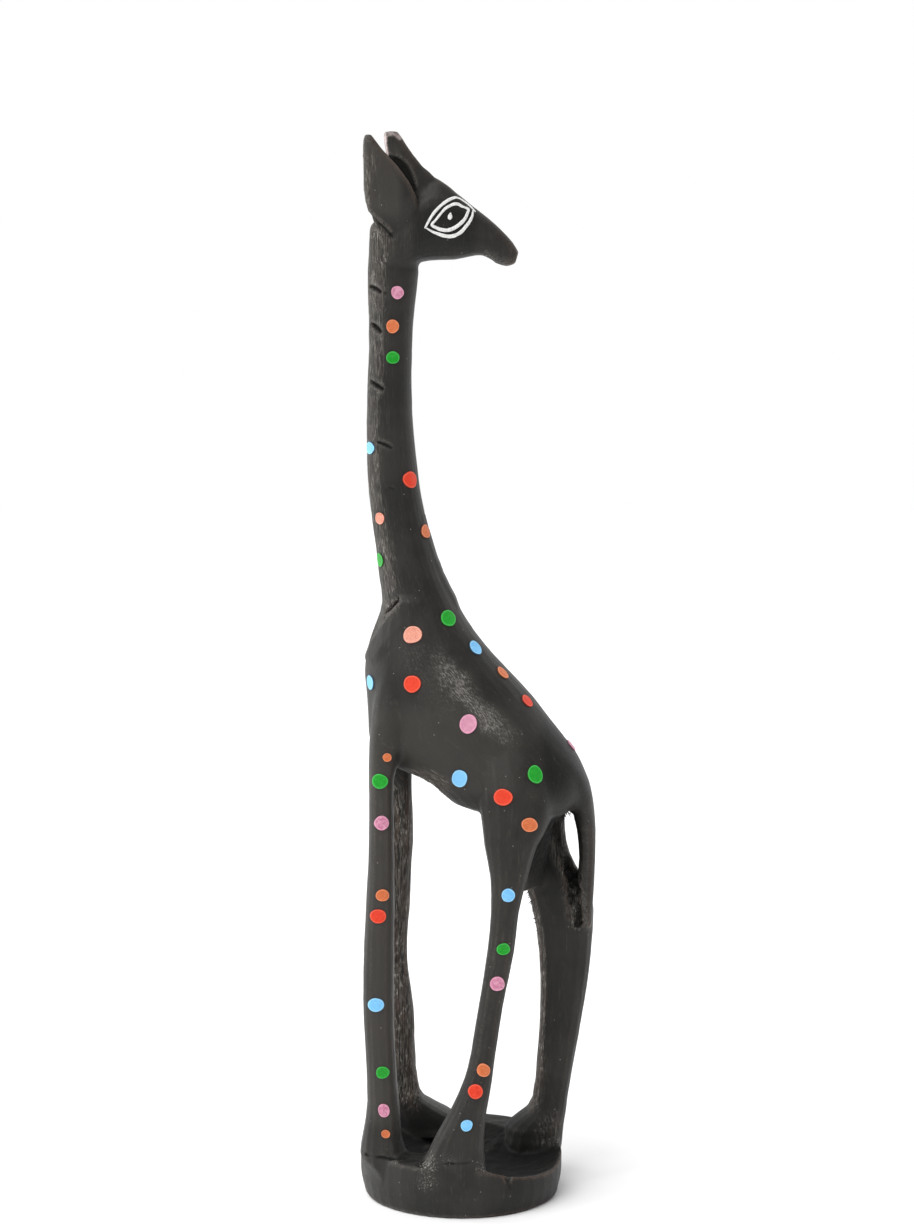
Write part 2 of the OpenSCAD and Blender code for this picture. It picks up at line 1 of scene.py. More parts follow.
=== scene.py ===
"""Looks of the hand-carved giraffe statue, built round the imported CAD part.

The wooden nodes become one continuous carved skin: it is voxel remeshed, its
joins are blended, knife marks, cuts and cracks are worked into it, and it is
cut back into closed pieces, one for each wooden node. The paint dots and the
eyes are rebuilt as raised paint on that skin. Lengths in this script are in
millimetres unless a name says otherwise; Blender's own are in metres.
"""

import itertools
import math

import bpy
import numpy as np
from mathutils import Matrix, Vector
from mathutils.bvhtree import BVHTree


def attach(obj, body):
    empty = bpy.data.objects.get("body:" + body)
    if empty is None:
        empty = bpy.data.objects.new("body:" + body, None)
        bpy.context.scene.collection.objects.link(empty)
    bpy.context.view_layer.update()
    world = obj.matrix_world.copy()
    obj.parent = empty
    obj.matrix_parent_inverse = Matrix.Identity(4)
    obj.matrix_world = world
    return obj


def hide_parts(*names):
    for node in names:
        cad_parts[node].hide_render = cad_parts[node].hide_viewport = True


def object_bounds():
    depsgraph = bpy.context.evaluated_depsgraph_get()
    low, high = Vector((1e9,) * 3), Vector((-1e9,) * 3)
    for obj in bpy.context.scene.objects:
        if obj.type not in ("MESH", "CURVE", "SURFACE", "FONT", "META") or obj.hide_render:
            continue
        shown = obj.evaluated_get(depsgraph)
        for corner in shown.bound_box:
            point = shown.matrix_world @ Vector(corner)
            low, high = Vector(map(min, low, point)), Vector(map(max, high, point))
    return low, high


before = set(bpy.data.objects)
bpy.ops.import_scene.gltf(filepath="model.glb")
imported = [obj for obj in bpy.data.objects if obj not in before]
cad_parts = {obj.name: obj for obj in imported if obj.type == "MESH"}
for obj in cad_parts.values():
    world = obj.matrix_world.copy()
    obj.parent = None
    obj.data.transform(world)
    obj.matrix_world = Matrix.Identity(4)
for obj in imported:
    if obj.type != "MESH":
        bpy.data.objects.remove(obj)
CAD_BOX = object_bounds()

MM = 0.001
HEIGHT = CAD_BOX[1].z / MM
SIZE = HEIGHT / 305.0
FINE_VOXEL = 0.4
VOXEL = FINE_VOXEL
STEP = VOXEL / FINE_VOXEL
FAR = 400.0

WOOD = [
    "base", "left_front_leg", "right_front_leg", "left_hind_leg", "right_hind_leg",
    "torso", "haunches", "tail", "neck", "head", "left_ear", "right_ear", "left_horn", "right_horn",
]


# ---- Small numeric tools ----

def smooth(low, high, value):
    """0 below low, 1 above high, smooth between them. Low may be the larger."""
    t = np.clip((value - low) / (high - low), 0.0, 1.0)
    return t * t * (3.0 - 2.0 * t)


def region(points, **ranges):
    """1 inside the ranges of x, y and z that are given, 0 outside them, smooth between.

    A range is (outside, inside), or with two ends (outside, inside, inside, outside).
    """
    total = 1.0
    for axis, (outside, inside, *far_end) in ranges.items():
        value = points[:, "xyz".index(axis)]
        total = total * smooth(outside, inside, value)
        if far_end:
            total = total * smooth(far_end[1], far_end[0], value)
    return total


def hashed(x, y, z, seed):
    """A repeatable number from -1 to 1 for each lattice point."""
    n = (x * 374761393 + y * 668265263 + z * 1440662683 + seed * 974711) & 0xFFFFFFFF
    n = ((n ^ (n >> 13)) * 1274126177) & 0xFFFFFFFF
    n = ((n ^ (n >> 15)) * 2246822519) & 0xFFFFFFFF
    return ((n ^ (n >> 16)) & 0xFFFFFF) / float(0xFFFFFF) * 2.0 - 1.0


def noise(points, seed, octaves=1):
    """Smooth noise from about -1 to 1, one lattice cell per unit."""
    total = np.zeros(len(points))
    share = 1.0
    for k in range(octaves):
        scaled = points * 2.0**k + 17.3 * k
        cell = np.floor(scaled).astype(np.int64)
        f = scaled - cell
        f = f * f * (3.0 - 2.0 * f)
        value = np.zeros(len(points))
        for corner in itertools.product((0, 1), repeat=3):
            weight = math.prod(f[:, i] if corner[i] else 1.0 - f[:, i] for i in range(3))
            value += weight * hashed(*(cell + corner).T, seed + k)
        total += share * value
        share *= 0.5
    return total


def unit(vectors):
    return vectors / np.maximum(np.linalg.norm(vectors, axis=1, keepdims=True), 1e-12)


def to_line(points, line):
    """For each point: distance to a polyline, and how far along it the nearest place is, 0 to 1."""
    line = np.array(line, float)
    steps = np.linalg.norm(np.diff(line, axis=0), axis=1)
    before = np.concatenate([[0.0], np.cumsum(steps)])
    best = np.full(len(points), 1e9)
    along = np.zeros(len(points))
    for a, b, step, start in zip(line[:-1], line[1:], steps, before):
        t = np.clip((points - a) @ (b - a) / step**2, 0.0, 1.0)
        d = np.linalg.norm(points - a - t[:, None] * (b - a), axis=1)
        nearer = d < best
        best[nearer] = d[nearer]
        along[nearer] = (start + t[nearer] * step) / before[-1]
    return best, along


def curve_through(points, count, closed=False):
    """Points evenly spread in parameter on a smooth curve through the given ones."""
    p = np.array(points, float)
    n = len(p)
    spans = n if closed else n - 1
    out = []
    for s in np.linspace(0, spans, count, endpoint=not closed):
        i = min(int(s), spans - 1)
        t = s - i
        beside = [i + k for k in (-1, 0, 1, 2)]
        a, b, c, d = (p[j % n if closed else min(max(j, 0), n - 1)] for j in beside)
        square = (2 * a - 5 * b + 4 * c - d) * t * t
        out.append(0.5 * (2 * b + (c - a) * t + square + (3 * b - a - 3 * c + d) * t**3))
    return np.array(out)


def read(items, field, width=1, kind=np.int32):
    """A field of many mesh items as an array, one row for each item where it is wide."""
    values = np.empty(len(items) * width, kind)
    items.foreach_get(field, values)
    return values if width == 1 else values.reshape(-1, width)


def add_object(name, data):
    obj = bpy.data.objects.new(name, data)
    bpy.context.scene.collection.objects.link(obj)
    return obj


# ---- The carved skin ----

class Skin:
    """Points, unit normals and faces of the carved skin, in millimetres."""

    def __init__(self, mesh):
        self.mesh = mesh
        self.points = read(mesh.vertices, "co", 3, np.float32).astype(float) / MM
        edges = read(mesh.edges, "vertices", 2)
        self.ends = np.concatenate([edges[:, 0], edges[:, 1]])
        self.others = np.concatenate([edges[:, 1], edges[:, 0]])
        self.valence = np.maximum(np.bincount(self.ends, minlength=len(mesh.vertices)), 1)
        corners = read(mesh.loops, "vertex_index")
        starts = read(mesh.polygons, "loop_start")
        quad = read(mesh.polygons, "loop_total") == 4
        four = np.stack([corners[starts[quad] + k] for k in range(4)], 1)
        three = np.stack([corners[starts[~quad] + k] for k in (0, 1, 2, 2)], 1)
        self.faces = np.concatenate([four, three])
        self.update()

    def around(self, values):
        """Mean of the neighbours' values."""
        if values.ndim == 1:
            sums = np.bincount(self.ends, weights=values[self.others], minlength=len(values))
            return sums / self.valence
        return np.stack([self.around(values[:, k]) for k in range(values.shape[1])], 1)

    def update(self):
        """Point normals, from the diagonals of each face."""
        p, f = self.points, self.faces
        across = np.cross(p[f[:, 2]] - p[f[:, 0]], p[f[:, 3]] - p[f[:, 1]])
        total = np.zeros_like(p)
        for k in range(4):
            if k == 3:
                across[f[:, 3] == f[:, 2]] = 0.0
            for axis in range(3):
                total[:, axis] += np.bincount(f[:, k], weights=across[:, axis], minlength=len(p))
        self.normals = unit(total)

    def relax(self, times, weight=1.0, strength=0.5):
        """Plain smoothing, weighted for each point."""
        w = strength * (weight if np.isscalar(weight) else weight[:, None])
        for _ in range(times):
            self.points = self.points + w * (self.around(self.points) - self.points)
        self.update()

    def fair(self, times):
        """Smoothing that keeps the volume."""
        for _ in range(times):
            for step in (0.5, -0.52):
                self.points = self.points + step * (self.around(self.points) - self.points)
        self.update()

    def spread(self, values, times):
        """Values blurred over the skin."""
        for _ in range(times):
            values = 0.5 * values + 0.5 * self.around(values)
        return values

    def push(self, amount):
        """Moves each point outwards by amount."""
        self.points = self.points + self.normals * amount[:, None]
        self.update()

    def store(self):
        """Writes the points back into the mesh."""
        self.mesh.vertices.foreach_set("co", (self.points * MM).astype(np.float32).ravel())
        self.mesh.update()


# Faces of two nodes meet where they are this close, in metres, and look at each other
TOUCHING = 4e-6
OPPOSITE = -0.9


def wooden_shell():
    """Triangles of all wooden nodes without the cut faces where the nodes meet."""
    points, faces, owners = [], [], []
    for owner, name in enumerate(WOOD):
        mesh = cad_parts[name].data
        base = len(points)
        points.extend(v.co.copy() for v in mesh.vertices)
        mesh.calc_loop_triangles()
        for t in mesh.loop_triangles:
            faces.append(tuple(base + i for i in t.vertices))
            owners.append(owner)
    tree = BVHTree.FromPolygons(points, faces)
    kept = []
    for k, (a, b, c) in enumerate(faces):
        normal = (points[b] - points[a]).cross(points[c] - points[a])
        if normal.length < 1e-16:
            continue
        normal.normalize()
        centre = (points[a] + points[b] + points[c]) / 3
        hidden = any(
            owners[other] != owners[k] and normal.dot(n) < OPPOSITE
            for _, n, other, _ in tree.find_nearest_range(centre, TOUCHING)
        )
        if not hidden:
            kept.append(faces[k])
    mesh = bpy.data.meshes.new("wooden_shell")
    mesh.from_pydata(points, [], kept)
    return mesh


def remeshed(mesh, voxel):
    """A closed quad mesh of even spacing round the given shell."""
    shell = add_object("wooden_shell", mesh)
    remesh = shell.modifiers.new("voxels", "REMESH")
    remesh.mode = "VOXEL"
    remesh.voxel_size = voxel * MM
    remesh.adaptivity = 0
    graph = bpy.context.evaluated_depsgraph_get()
    result = bpy.data.meshes.new_from_object(shell.evaluated_get(graph))
    bpy.data.objects.remove(shell)
    return result


skin = Skin(remeshed(wooden_shell(), VOXEL))
skin.fair(3)


def rounds(count):
    """Smoothing rounds that reach the same distance at either voxel size."""
    return max(1, int(round(count / STEP**2)))


def hollow_of():
    """How strongly each point sits in a crease, in millimetres of offset."""
    return np.einsum("ij,ij->i", skin.around(skin.points) - skin.points, skin.normals)


def flush_feet():
    """The feet run down into the side of the round base without a step."""
    x, y, z = skin.points.T / SIZE
    base_radius = 29.35
    limit = base_radius + 5.6 * smooth(7, 19, z) + 20.0 * smooth(18, 30, z)
    out = np.maximum(np.hypot(x, y), 1e-6)
    rounding = 1.0 * smooth(7, 0, z) * smooth(23, 27, out)
    skin.points[:, :2] *= (np.minimum(out, limit) - rounding)[:, None] / out[:, None]
    skin.update()


def rise_to_horns(p):
    """The forehead rises to the horns in one line."""
    x, y, z = p.T
    beside = np.abs(y - 1.0)
    profile = np.interp(x, [-12.1, -8.1, -3.2, 0.1], [296.0, 293.0, 289.7, 286.5])
    line = profile - 0.06 * np.clip(beside - 2.5, 0, None)**2
    above = region(p, x=(-11.6, -10.4, -2.0, 0.0)) * smooth(6.5, 4.5, beside)
    above *= smooth(0.1, 0.4, skin.normals[:, 2])
    groove = smooth(0.6, 1.6, beside) + smooth(-9.5, -7.5, x)
    skin.points[:, 2] += SIZE * above * np.clip(groove, 0, 1) * np.clip(line - z, 0, 1.4)
    skin.update()


def blend_joins():
    """Joins of legs, trunk, tail and head flow into each other as carved wood does."""
    p = skin.points / SIZE
    tail_hole = region(p, x=(15, 18, 31, 34), z=(88, 92, 112, 115), y=(-6, -10))
    crease = smooth(0.01, 0.05, hollow_of() / STEP)
    crease = np.clip(skin.spread(crease, rounds(14)) * 3.0, 0, 1)
    below_prongs = 1.0 - smooth(281, 285, p[:, 2])
    skin.relax(rounds(70), crease * below_prongs * (1.0 - 0.85 * tail_hole))

    p = skin.points / SIZE
    rise_to_horns(p)
    forehead = region(p, z=(286, 288, 295, 297), x=(-13.5, -11.5))
    skin.relax(rounds(30), forehead)
    rump = region(p, x=(12, 20), z=(106, 112, 138, 148))
    shoulder = region(p, x=(-8, -14), z=(121, 130, 156, 166))
    skin.relax(rounds(90), np.maximum(rump, 0.7 * shoulder))
    skin.relax(rounds(40), region(p, x=(8, 12, 25, 28), z=(86, 88, 93, 98), y=(-15, -12, 4, 8)))
    edge = smooth(0.01, 0.05, -hollow_of() / STEP)
    edge = np.clip(skin.spread(edge, rounds(5)) * 2.0, 0, 1) * region(p, z=(2.5, 4.5, 299, 301))
    skin.relax(rounds(6), edge * (1.0 - 0.7 * tail_hole))


flush_feet()
blend_joins()


def outline_at(heights):
    """Lowest and highest x of the trunk and neck at each height."""
    x, z = skin.points[:, 0], skin.points[:, 2]
    levels = [x[np.abs(z - h) < 1.5] for h in heights]
    return np.array([level.min() for level in levels]), np.array([level.max() for level in levels])


LEVELS = np.arange(120.0, 262.0, 6.0) * SIZE
CHEST_SIDE, BACK_SIDE = outline_at(LEVELS)


def share_across(points):
    """0 at the chest side of the trunk, 1 at its back side, following its outline."""
    low = np.interp(points[:, 2], LEVELS, CHEST_SIDE)
    high = np.interp(points[:, 2], LEVELS, BACK_SIDE)
    return (points[:, 0] - low) / (high - low)


# ---- Knife work ----

# The skin as it is before the knife work: it places every mark below
P = skin.points / SIZE
N = skin.normals
X, Y, Z = P.T
LEFTWARDS, NEARWARDS = -N[:, 0], -N[:, 1]
WORKED = {kind: np.zeros(len(P)) for kind in ("rough", "brown", "black")}


def mark(kind, amount):
    """Notes how rough, brown or black the skin is, 0 to 1, black being painted shade; the stronger value
    stays.
    """
    WORKED[kind] = np.maximum(WORKED[kind], amount)


def lift(amount):
    """Moves the skin outwards by amounts in millimetres."""
    skin.push(SIZE * amount)


def grained(cell, seed, octaves=1):
    """Noise over the skin, with cells of one size in millimetres or of one for each axis."""
    return noise(P / np.array(cell), seed, octaves)


def ledge(side, sharp, rise, rise_reach, fall, fall_reach):
    """Height across an edge: raised where side is positive, sunk where it is not, and level far away."""
    raised = rise * smooth(-sharp, sharp, side) * np.exp(-np.clip(side, 0, None) / rise_reach)
    sunk = fall * smooth(sharp, -sharp, side) * np.exp(-np.clip(-side, 0, None) / fall_reach)
    return raised - sunk


def unevenness():
    """Shallow unevenness of hand work all over, less on the face."""
    calm = 1.0 - 0.6 * region(P, z=(266, 270), x=(-12, -8))
    lift(calm * (0.10 * grained(9.0, 3) + 0.05 * grained(3.6, 9)))


def filed_nape():
    """Nape side of the neck, filed flat with a coarse grain, and the rough backs of the ears, their pale
    colour partly painted highlight.
    """
    wider = 0.22 * smooth(225, 240, Z)
    nape = smooth(0.22 - wider, 0.62 - wider, LEFTWARDS) * region(P, z=(166, 182, 274, 281))
    scuffed = smooth(-0.5, 0.5, grained((3.0, 3.0, 14.0), 17, 2))
    # The left-facing nape: filed grain, and its pale colour partly painted highlight
    mark("rough", nape * (0.55 + 0.45 * scuffed))
    # Backs of the ears: rough grain whose pale colour is painted sheen
    mark("rough", region(P, x=(-22.0, -24.5), z=(282, 285, 299, 302)) * scuffed)
    lift(0.07 * nape * grained((0.8, 0.8, 3.5), 18, 2))


def raw_inner_legs():
    """Faces of the legs that look at each other stay rough and brown from the chisel."""
    raw = region(P, z=(17, 24, 112, 124)) * (
        region(P, x=(-11, -13), y=(6, 9)) * smooth(0.1, 0.7, np.maximum(NEARWARDS, N[:, 0]))
        + region(P, x=(-11, -13), y=(-6, -9)) * smooth(0.2, 0.8, N[:, 1])
        + region(P, x=(-9, -6), y=(-8, -11)) * smooth(0.3, 0.8, N[:, 1])
        + region(P, x=(12, 16), y=(-1, 3)) * smooth(0.5, 0.9, LEFTWARDS)
    )
    raw = np.clip(raw, 0, 1)
    mark("brown", raw)
    mark("rough", raw)
    lift(0.18 * raw * (grained((0.9, 0.9, 9.0), 21) + 0.6 * grained((2.0, 2.0, 16.0), 22)))


SHOULDER_EDGE = [
    (-27.3, -1.6, 156.6), (-25.3, -4.2, 161.8), (-22.7, -6.2, 166.3), (-20.2, -7.6, 170),
    (-17.6, -9.4, 173.4),
]


def shoulder_edge():
    """The edge of the near shoulder stands proud of the neck and of the chest front."""
    away = to_line(P, SHOULDER_EDGE[::-1])[0]
    edge_x, _, edge_z = zip(*SHOULDER_EDGE)
    side = 0.8 * (X - np.interp(Z, edge_z, edge_x))
    near = region(P, y=(1.5, -1.0), z=(154, 158, 173, 176))
    lift(near * smooth(9, 5, away) * ledge(side, 0.2, 0.95, 4.0, 0.95, 1.8))
    mark("rough", 0.9 * near * smooth(0.2, -0.4, side) * smooth(8, 4, away))


def cheek_edge():
    """Cheek and ear root stand proud of the nape side of the neck."""
    side = (Z - 279.5) + 0.95 * (X + 22.6)
    near = smooth(0.2, 0.6, 0.7 * LEFTWARDS + 0.7 * np.abs(N[:, 1]))
    near *= region(P, z=(273, 276, 282, 284), x=(-26.6, -25.4, -20, -18.5))
    lift(near * ledge(side, 0.25, 0.55, 2.5, 0.7, 1.8))
    mark("rough", near * smooth(0.25, -0.5, side))


def ear_wedges():
    """Deep wedge between each ear and its horn, from its top corner down to its point, darkened as painted
    shade.
    """
    top_x, top_z = -21.2, 298.4
    run_x, run_z = 8.5, -10.3
    t = ((X - top_x) * run_x + (Z - top_z) * run_z) / (run_x**2 + run_z**2)
    right = ((X - top_x) * -run_z + (Z - top_z) * run_x) / math.hypot(run_x, run_z)
    bulge = 2.7 * np.sin(math.pi * np.clip(t, 0, 1)**0.8)
    wedge = smooth(-0.8, 0.1, right) * smooth(0.35, -0.35, right - bulge)
    wedge *= smooth(0.0, 0.06, t) * smooth(1.02, 0.96, t) * smooth(7.2, 6.6, np.abs(Y - 1.0))
    lift(-0.7 * wedge)
    # Painted shade in the wedge
    mark("black", 0.9 * wedge)


def tail_recess():
    """Recess between the tail and the right hind leg, dug out with a gouge."""
    middle = [(31.8, 5.3, 94.7), (32.4, 3.8, 90.9), (32.9, 3.2, 86.6), (33.5, 2.9, 82.8), (34, 2.9, 78)]
    away, along = to_line(P, middle)
    width = (2.6 - 1.3 * along) * (1.0 + 0.45 * grained(1.3, 33, 2))
    dug = smooth(1.25, 0.0, away / (width + 0.9)) * smooth(0.1, 0.5, NEARWARDS) * (1.0 - 0.35 * along)
    lift(-dug * 1.9 * (1.0 + 0.35 * grained((0.6, 0.6, 1.2), 31, 2)))
    mark("rough", smooth(0.0, 0.3, dug))


def tail_hole():
    """The hole behind the tail: a wall of coarse grain, and the gap that leads up to its arch, painted black
    as shade.
    """
    wall = smooth(6.0, 3.5, to_line(P, [(27.6, 4, 105), (28.6, 5, 101), (30.4, 5, 98), (32.4, 5, 94.6)])[0])
    wall *= smooth(0.1, 0.5, N[:, 0] + 0.5 * NEARWARDS)
    lift(0.22 * wall * grained((0.8, 2.0, 4.0), 41, 2))
    mark("rough", wall)
    thigh_edge = np.interp(Z, [97.5, 103.6, 110.1, 114.5], [18.4, 20.6, 23.4, 26.6])
    gap = smooth(0.0, 1.0, X - thigh_edge) * smooth(0.6, 0.1, N[:, 1]) * (1.0 - wall)
    gap *= region(P, z=(86, 97, 111.2, 112.8), x=(33.6, 32.2), y=(-21, -19, 7, 10))
    lift(0.2 * gap * grained((0.8, 0.8, 2.4), 43, 2))
    # Painted shade in the gap beside the thigh
    mark("black", 0.9 * gap)


def base_hollow():
    """The scooped pit of the base, with tool marks in its bottom, and the corners under the feet: both
    darkened as painted shade.
    """
    between_feet = region(P, x=(-19, -17, -10, -7), y=(-12, -15))
    pit = smooth(15.6 + between_feet, 14.4 + between_feet, Z) * smooth(0.3, 0.7, N[:, 2])
    pit *= smooth(28.2 + 1.2 * between_feet, 27 + 1.2 * between_feet, np.hypot(X, Y))
    lift(0.22 * pit * grained((2.4, 1.5, 2.4), 51, 2))
    # Painted shade in the pit of the base
    mark("black", 0.92 * pit)
    under_foot = region(P, z=(14, 15.5, 21, 25), y=(5, 8), x=(12, 9)) * smooth(0.2, 0.6, NEARWARDS)
    # Painted shade under the far foot
    mark("black", 0.8 * under_foot)
    long_toe = region(P, z=(14, 15.5, 17, 25), x=(8, 13, 22, 33), y=(-14, -11))
    # Painted shade under the long toe
    mark("black", 0.6 * long_toe)


def rim_marks():
    """Chisel marks where the right hind foot meets the rim."""
    marks = smooth(10, 5, np.linalg.norm(P - np.array([28, -4, 17]), axis=1)) * smooth(12, 14, Z)
    lift(0.25 * marks * grained((3.0, 3.0, 0.8), 61))
    mark("rough", 0.7 * marks)


def belly_arch():
    """Arch in front of the belly, its fibres torn by the saw."""
    arch = region(P, x=(-17, -14, -6, -2), z=(116, 119, 124, 128)) * smooth(-0.2, -0.6, N[:, 2])
    lift(0.25 * arch * grained(0.8, 71, 2))
    mark("rough", arch)
    mark("brown", 0.6 * arch)


CUTS = [
    # Narrow cuts: points along each, width and depth
    # Mane cuts, nape side downwards
    ([(-26.2, -2.0, 261.9), (-24.4, -4.2, 261.3), (-23.0, -5.0, 260.4)], 1.0, 1.1),
    ([(-21.6, -5.6, 260.2), (-21.1, -5.7, 259.9)], 0.6, 0.6),
    ([(-25.7, -2.6, 251.3), (-24.3, -4.3, 250.4), (-23.0, -5.0, 249.3)], 1.15, 1.2),
    ([(-25.8, -3.0, 235.2), (-23.8, -4.9, 234.0), (-22.4, -5.5, 233.2)], 1.0, 1.1),
    ([(-23.6, -5.5, 218.2), (-21.6, -6.2, 217.5), (-19.8, -6.4, 216.6)], 0.6, 0.7),
    ([(-20.4, -7.0, 205.4), (-18.6, -7.3, 204.7), (-17.2, -7.4, 204.3)], 0.5, 0.6),
    ([(-16.2, -8.4, 193.4), (-14.5, -8.6, 192.8), (-13.2, -8.6, 192.5)], 0.5, 0.6),
    # Crease under the shoulder edge, running down beside the chest
    ([(-17.6, -9.6, 173.9), (-20.2, -7.4, 171.3), (-22.6, -4.2, 169.4)], 0.9, 0.9),
    ([(-20.6, -7.6, 169.6), (-23.0, -6.0, 166.0), (-25.5, -3.9, 161.5), (-27.1, -1.4, 157.6)], 0.5, 0.45),
    # Creases where the near feet meet the rim
    ([(-27.5, -17.6, 15.6), (-21.8, -19.3, 15.0), (-16.2, -20.2, 14.9)], 0.7, 0.4),
    ([(-9.0, -22.0, 15.6), (-5.0, -28.0, 16.3), (-1.9, -29.3, 16.2), (3.4, -29.1, 16.6), (6.6, -28.2, 15.8)],
     0.6, 0.4),
    # Crack in the rim
    ([(12.3, -25.6, 13.2), (12.9, -26.4, 11.5), (13.6, -26.3, 9.4), (14.6, -26.0, 7.4)], 0.8, 1.5),
    # Nick above the near front leg
    ([(-15.6, -16.4, 128.5), (-15.2, -16.4, 125.6)], 0.5, 0.5),
]


def cut_lines():
    """Makes the narrow cuts. Returns how deep in one of them each point is, 0 to 1."""
    cavity = np.zeros(len(skin.points))
    p = skin.points / SIZE
    for line, width, depth in CUTS:
        away, along = to_line(p, line)
        taper = 0.55 + 0.45 * np.sin(math.pi * np.clip(along, 0.06, 0.94))
        cut = smooth(1.0, 0.0, away / (width * taper + 0.12))
        cavity = np.maximum(cavity, smooth(0.15, 0.7, cut))
        skin.points -= skin.normals * (SIZE * depth * cut)[:, None]
    skin.update()
    return cavity


for knife_work in (
    unevenness, filed_nape, raw_inner_legs, shoulder_edge, cheek_edge, ear_wedges,
    tail_recess, tail_hole, base_hollow, rim_marks, belly_arch,
):
    knife_work()
cavity = cut_lines()
skin.points[:, 2] = np.maximum(skin.points[:, 2], 0.0)
skin.update()
skin_tree = BVHTree.FromPolygons(
    [Vector(q) for q in skin.points * MM],
    [f[:3] if f[2] == f[3] else f for f in skin.faces.tolist()],
)


# ---- What the skin's paint looks like, point by point, with painted light and shade ----

def pale_horn_edge():
    """Where the near horn is coloured pale: along its rear edge and rim."""
    p = skin.points / SIZE
    near = smooth(1.5, 0.5, p[:, 1])
    from_edge = to_line(p, [(-21.3, -4.4, 297.8), (-21.8, -4.4, 301), (-21.8, -4.5, 303.6)])[0]
    from_rim = to_line(p, [(-21.4, -5.0, 304.4), (-18.6, -5.0, 304.6), (-17.2, -4.8, 303.4)])[0]
    worn = np.maximum(smooth(1.15, 0.75, from_edge), 0.45 * smooth(1.0, 0.6, from_rim)) * near
    return worn * smooth(-0.9, -0.1, noise(p / 0.8, 81, 2))


WEAR_AND_SHEEN_PATCHES = [
    # Place, reach in millimetres and strength
    ((-10, -26.5, 16), 3.6, 0.75), ((-10, -28, 11), 3.6, 0.5), ((-4, -29, 17), 2.5, 0.35),
    ((6, -28, 14.5), 2.5, 0.5), ((-22, -21, 17), 4.0, 0.25),
    ((28, -6, 18), 4.5, 0.5), ((20, -22, 121), 3.0, 0.2), ((33, -4, 128), 2.5, 0.3),
    ((-18, -16, 133), 3.5, 0.2), ((6, -28, 30), 2.5, 0.2), ((10, -4.5, 277), 2.5, 0.2),
    # The first patch on this line, on the nape, is painted sheen, not wear
    ((-25, -4, 257), 3.0, 0.4), ((33, 5, 82), 3.0, 0.4),
]


def wear_and_sheen_patches():
    """Patches rubbed down to a scatter of pale specks; the one on the nape is painted sheen."""
    p = skin.points / SIZE
    total = np.zeros(len(p))
    for place, reach, strength in WEAR_AND_SHEEN_PATCHES:
        total = np.maximum(total, strength * np.exp(-np.sum((p - np.array(place))**2, 1) / reach**2))
    return total


LIGHT_AND_SHADE_AREAS = [
    # Strength and place: painted light on the left front leg, left hind leg, ears, flank; then painted shade
    # on the cheeks, rump, side of the base
    (1.0, dict(x=(-28, -23, -14, -12), y=(-8, -12), z=(20, 30, 118, 130))),
    (0.3, dict(x=(18, 14), y=(-12, -16), z=(20, 30, 90, 105))),
    (1.0, dict(x=(-15, -19), z=(278, 284, 299, 303))),
    (0.6, dict(y=(-10, -14), z=(116, 122, 140, 150), x=(20, 12))),
    (-0.8, dict(x=(-16, -12, 2, 6), z=(264, 270, 282, 286))),
    (-1.0, dict(x=(20, 26), z=(112, 118, 150, 165))),
    (-0.8, dict(x=(2, 18), z=(18, 14))),
]


def painted_light_and_shade():
    """Lighter, greyer colour above nought and darker colour below it: painted light and painted shade, area
    by area.
    """
    return sum(strength * region(skin.points / SIZE, **place) for strength, place in LIGHT_AND_SHADE_AREAS)


SHELTER_RAYS = 14
SHELTER_REACH = 22.0
GOLDEN_ANGLE = 2.399963


def occlusion_shade():
    """How far each point is closed in by wood around it, 0 in the open to 1 deep in a gap. The wood's colour
    is darkened by it as painted shade.
    """
    directions = []
    for k in range(SHELTER_RAYS):
        height = 1.0 - (k + 0.5) / SHELTER_RAYS * 0.85
        level = math.sqrt(1 - height**2)
        turn = k * GOLDEN_ANGLE
        directions.append((math.cos(turn) * level, math.sin(turn) * level, height))
    chosen = np.arange(0, len(skin.points), 8)
    closed = np.zeros(len(skin.points))
    known = np.zeros(len(skin.points))
    known[chosen] = 1.0
    for i in chosen.tolist():
        n = Vector(skin.normals[i])
        start = Vector(skin.points[i] * MM) + n * 0.0004
        first = n.orthogonal().normalized()
        second = n.cross(first)
        rays = [first * a + second * b + n * c for a, b, c in directions]
        hits = [skin_tree.ray_cast(start, ray, SHELTER_REACH * SIZE * MM)[0] is not None for ray in rays]
        closed[i] = sum(hits) / SHELTER_RAYS
    closed = skin.spread(closed, rounds(24))
    known = skin.spread(known, rounds(24))
    return closed / np.maximum(known, 1e-9)


def painted_sheen_band():
    """Where a stiff brush left streaks across the near side of the trunk, lit as painted highlight, with a
    painted sheen round them.
    """
    p = skin.points / SIZE
    flat = p * np.array([1, 0.3, 1])
    streak = [(-12, -4.8, 164), (-3.3, -5.6, 153.4), (2.4, -6, 145.8), (8.4, -6, 140.2), (20, -6, 131)]
    away, along = to_line(flat, streak)
    sheen_band = smooth(6.0, 0.0, away + 1.5 * noise(p / 3.0, 91))
    sheen_band *= smooth(-0.05, 0.4, along) * smooth(1.05, 0.6, along)
    haze = to_line(flat, [(-13, -5, 158), (-4, -5.6, 146)])[0]
    return np.maximum(sheen_band, 0.3 * smooth(9.5, 1.0, haze))


def edge_and_hollow():
    """Ridges and hollows about a millimetre across, each 0 to 1."""
    softened = skin.spread(skin.points, rounds(14))
    height = np.einsum("ij,ij->i", skin.points - softened, skin.normals)
    height = skin.spread(height, rounds(2))
    return smooth(0.03, 0.16, height), smooth(0.03, 0.2, -height)


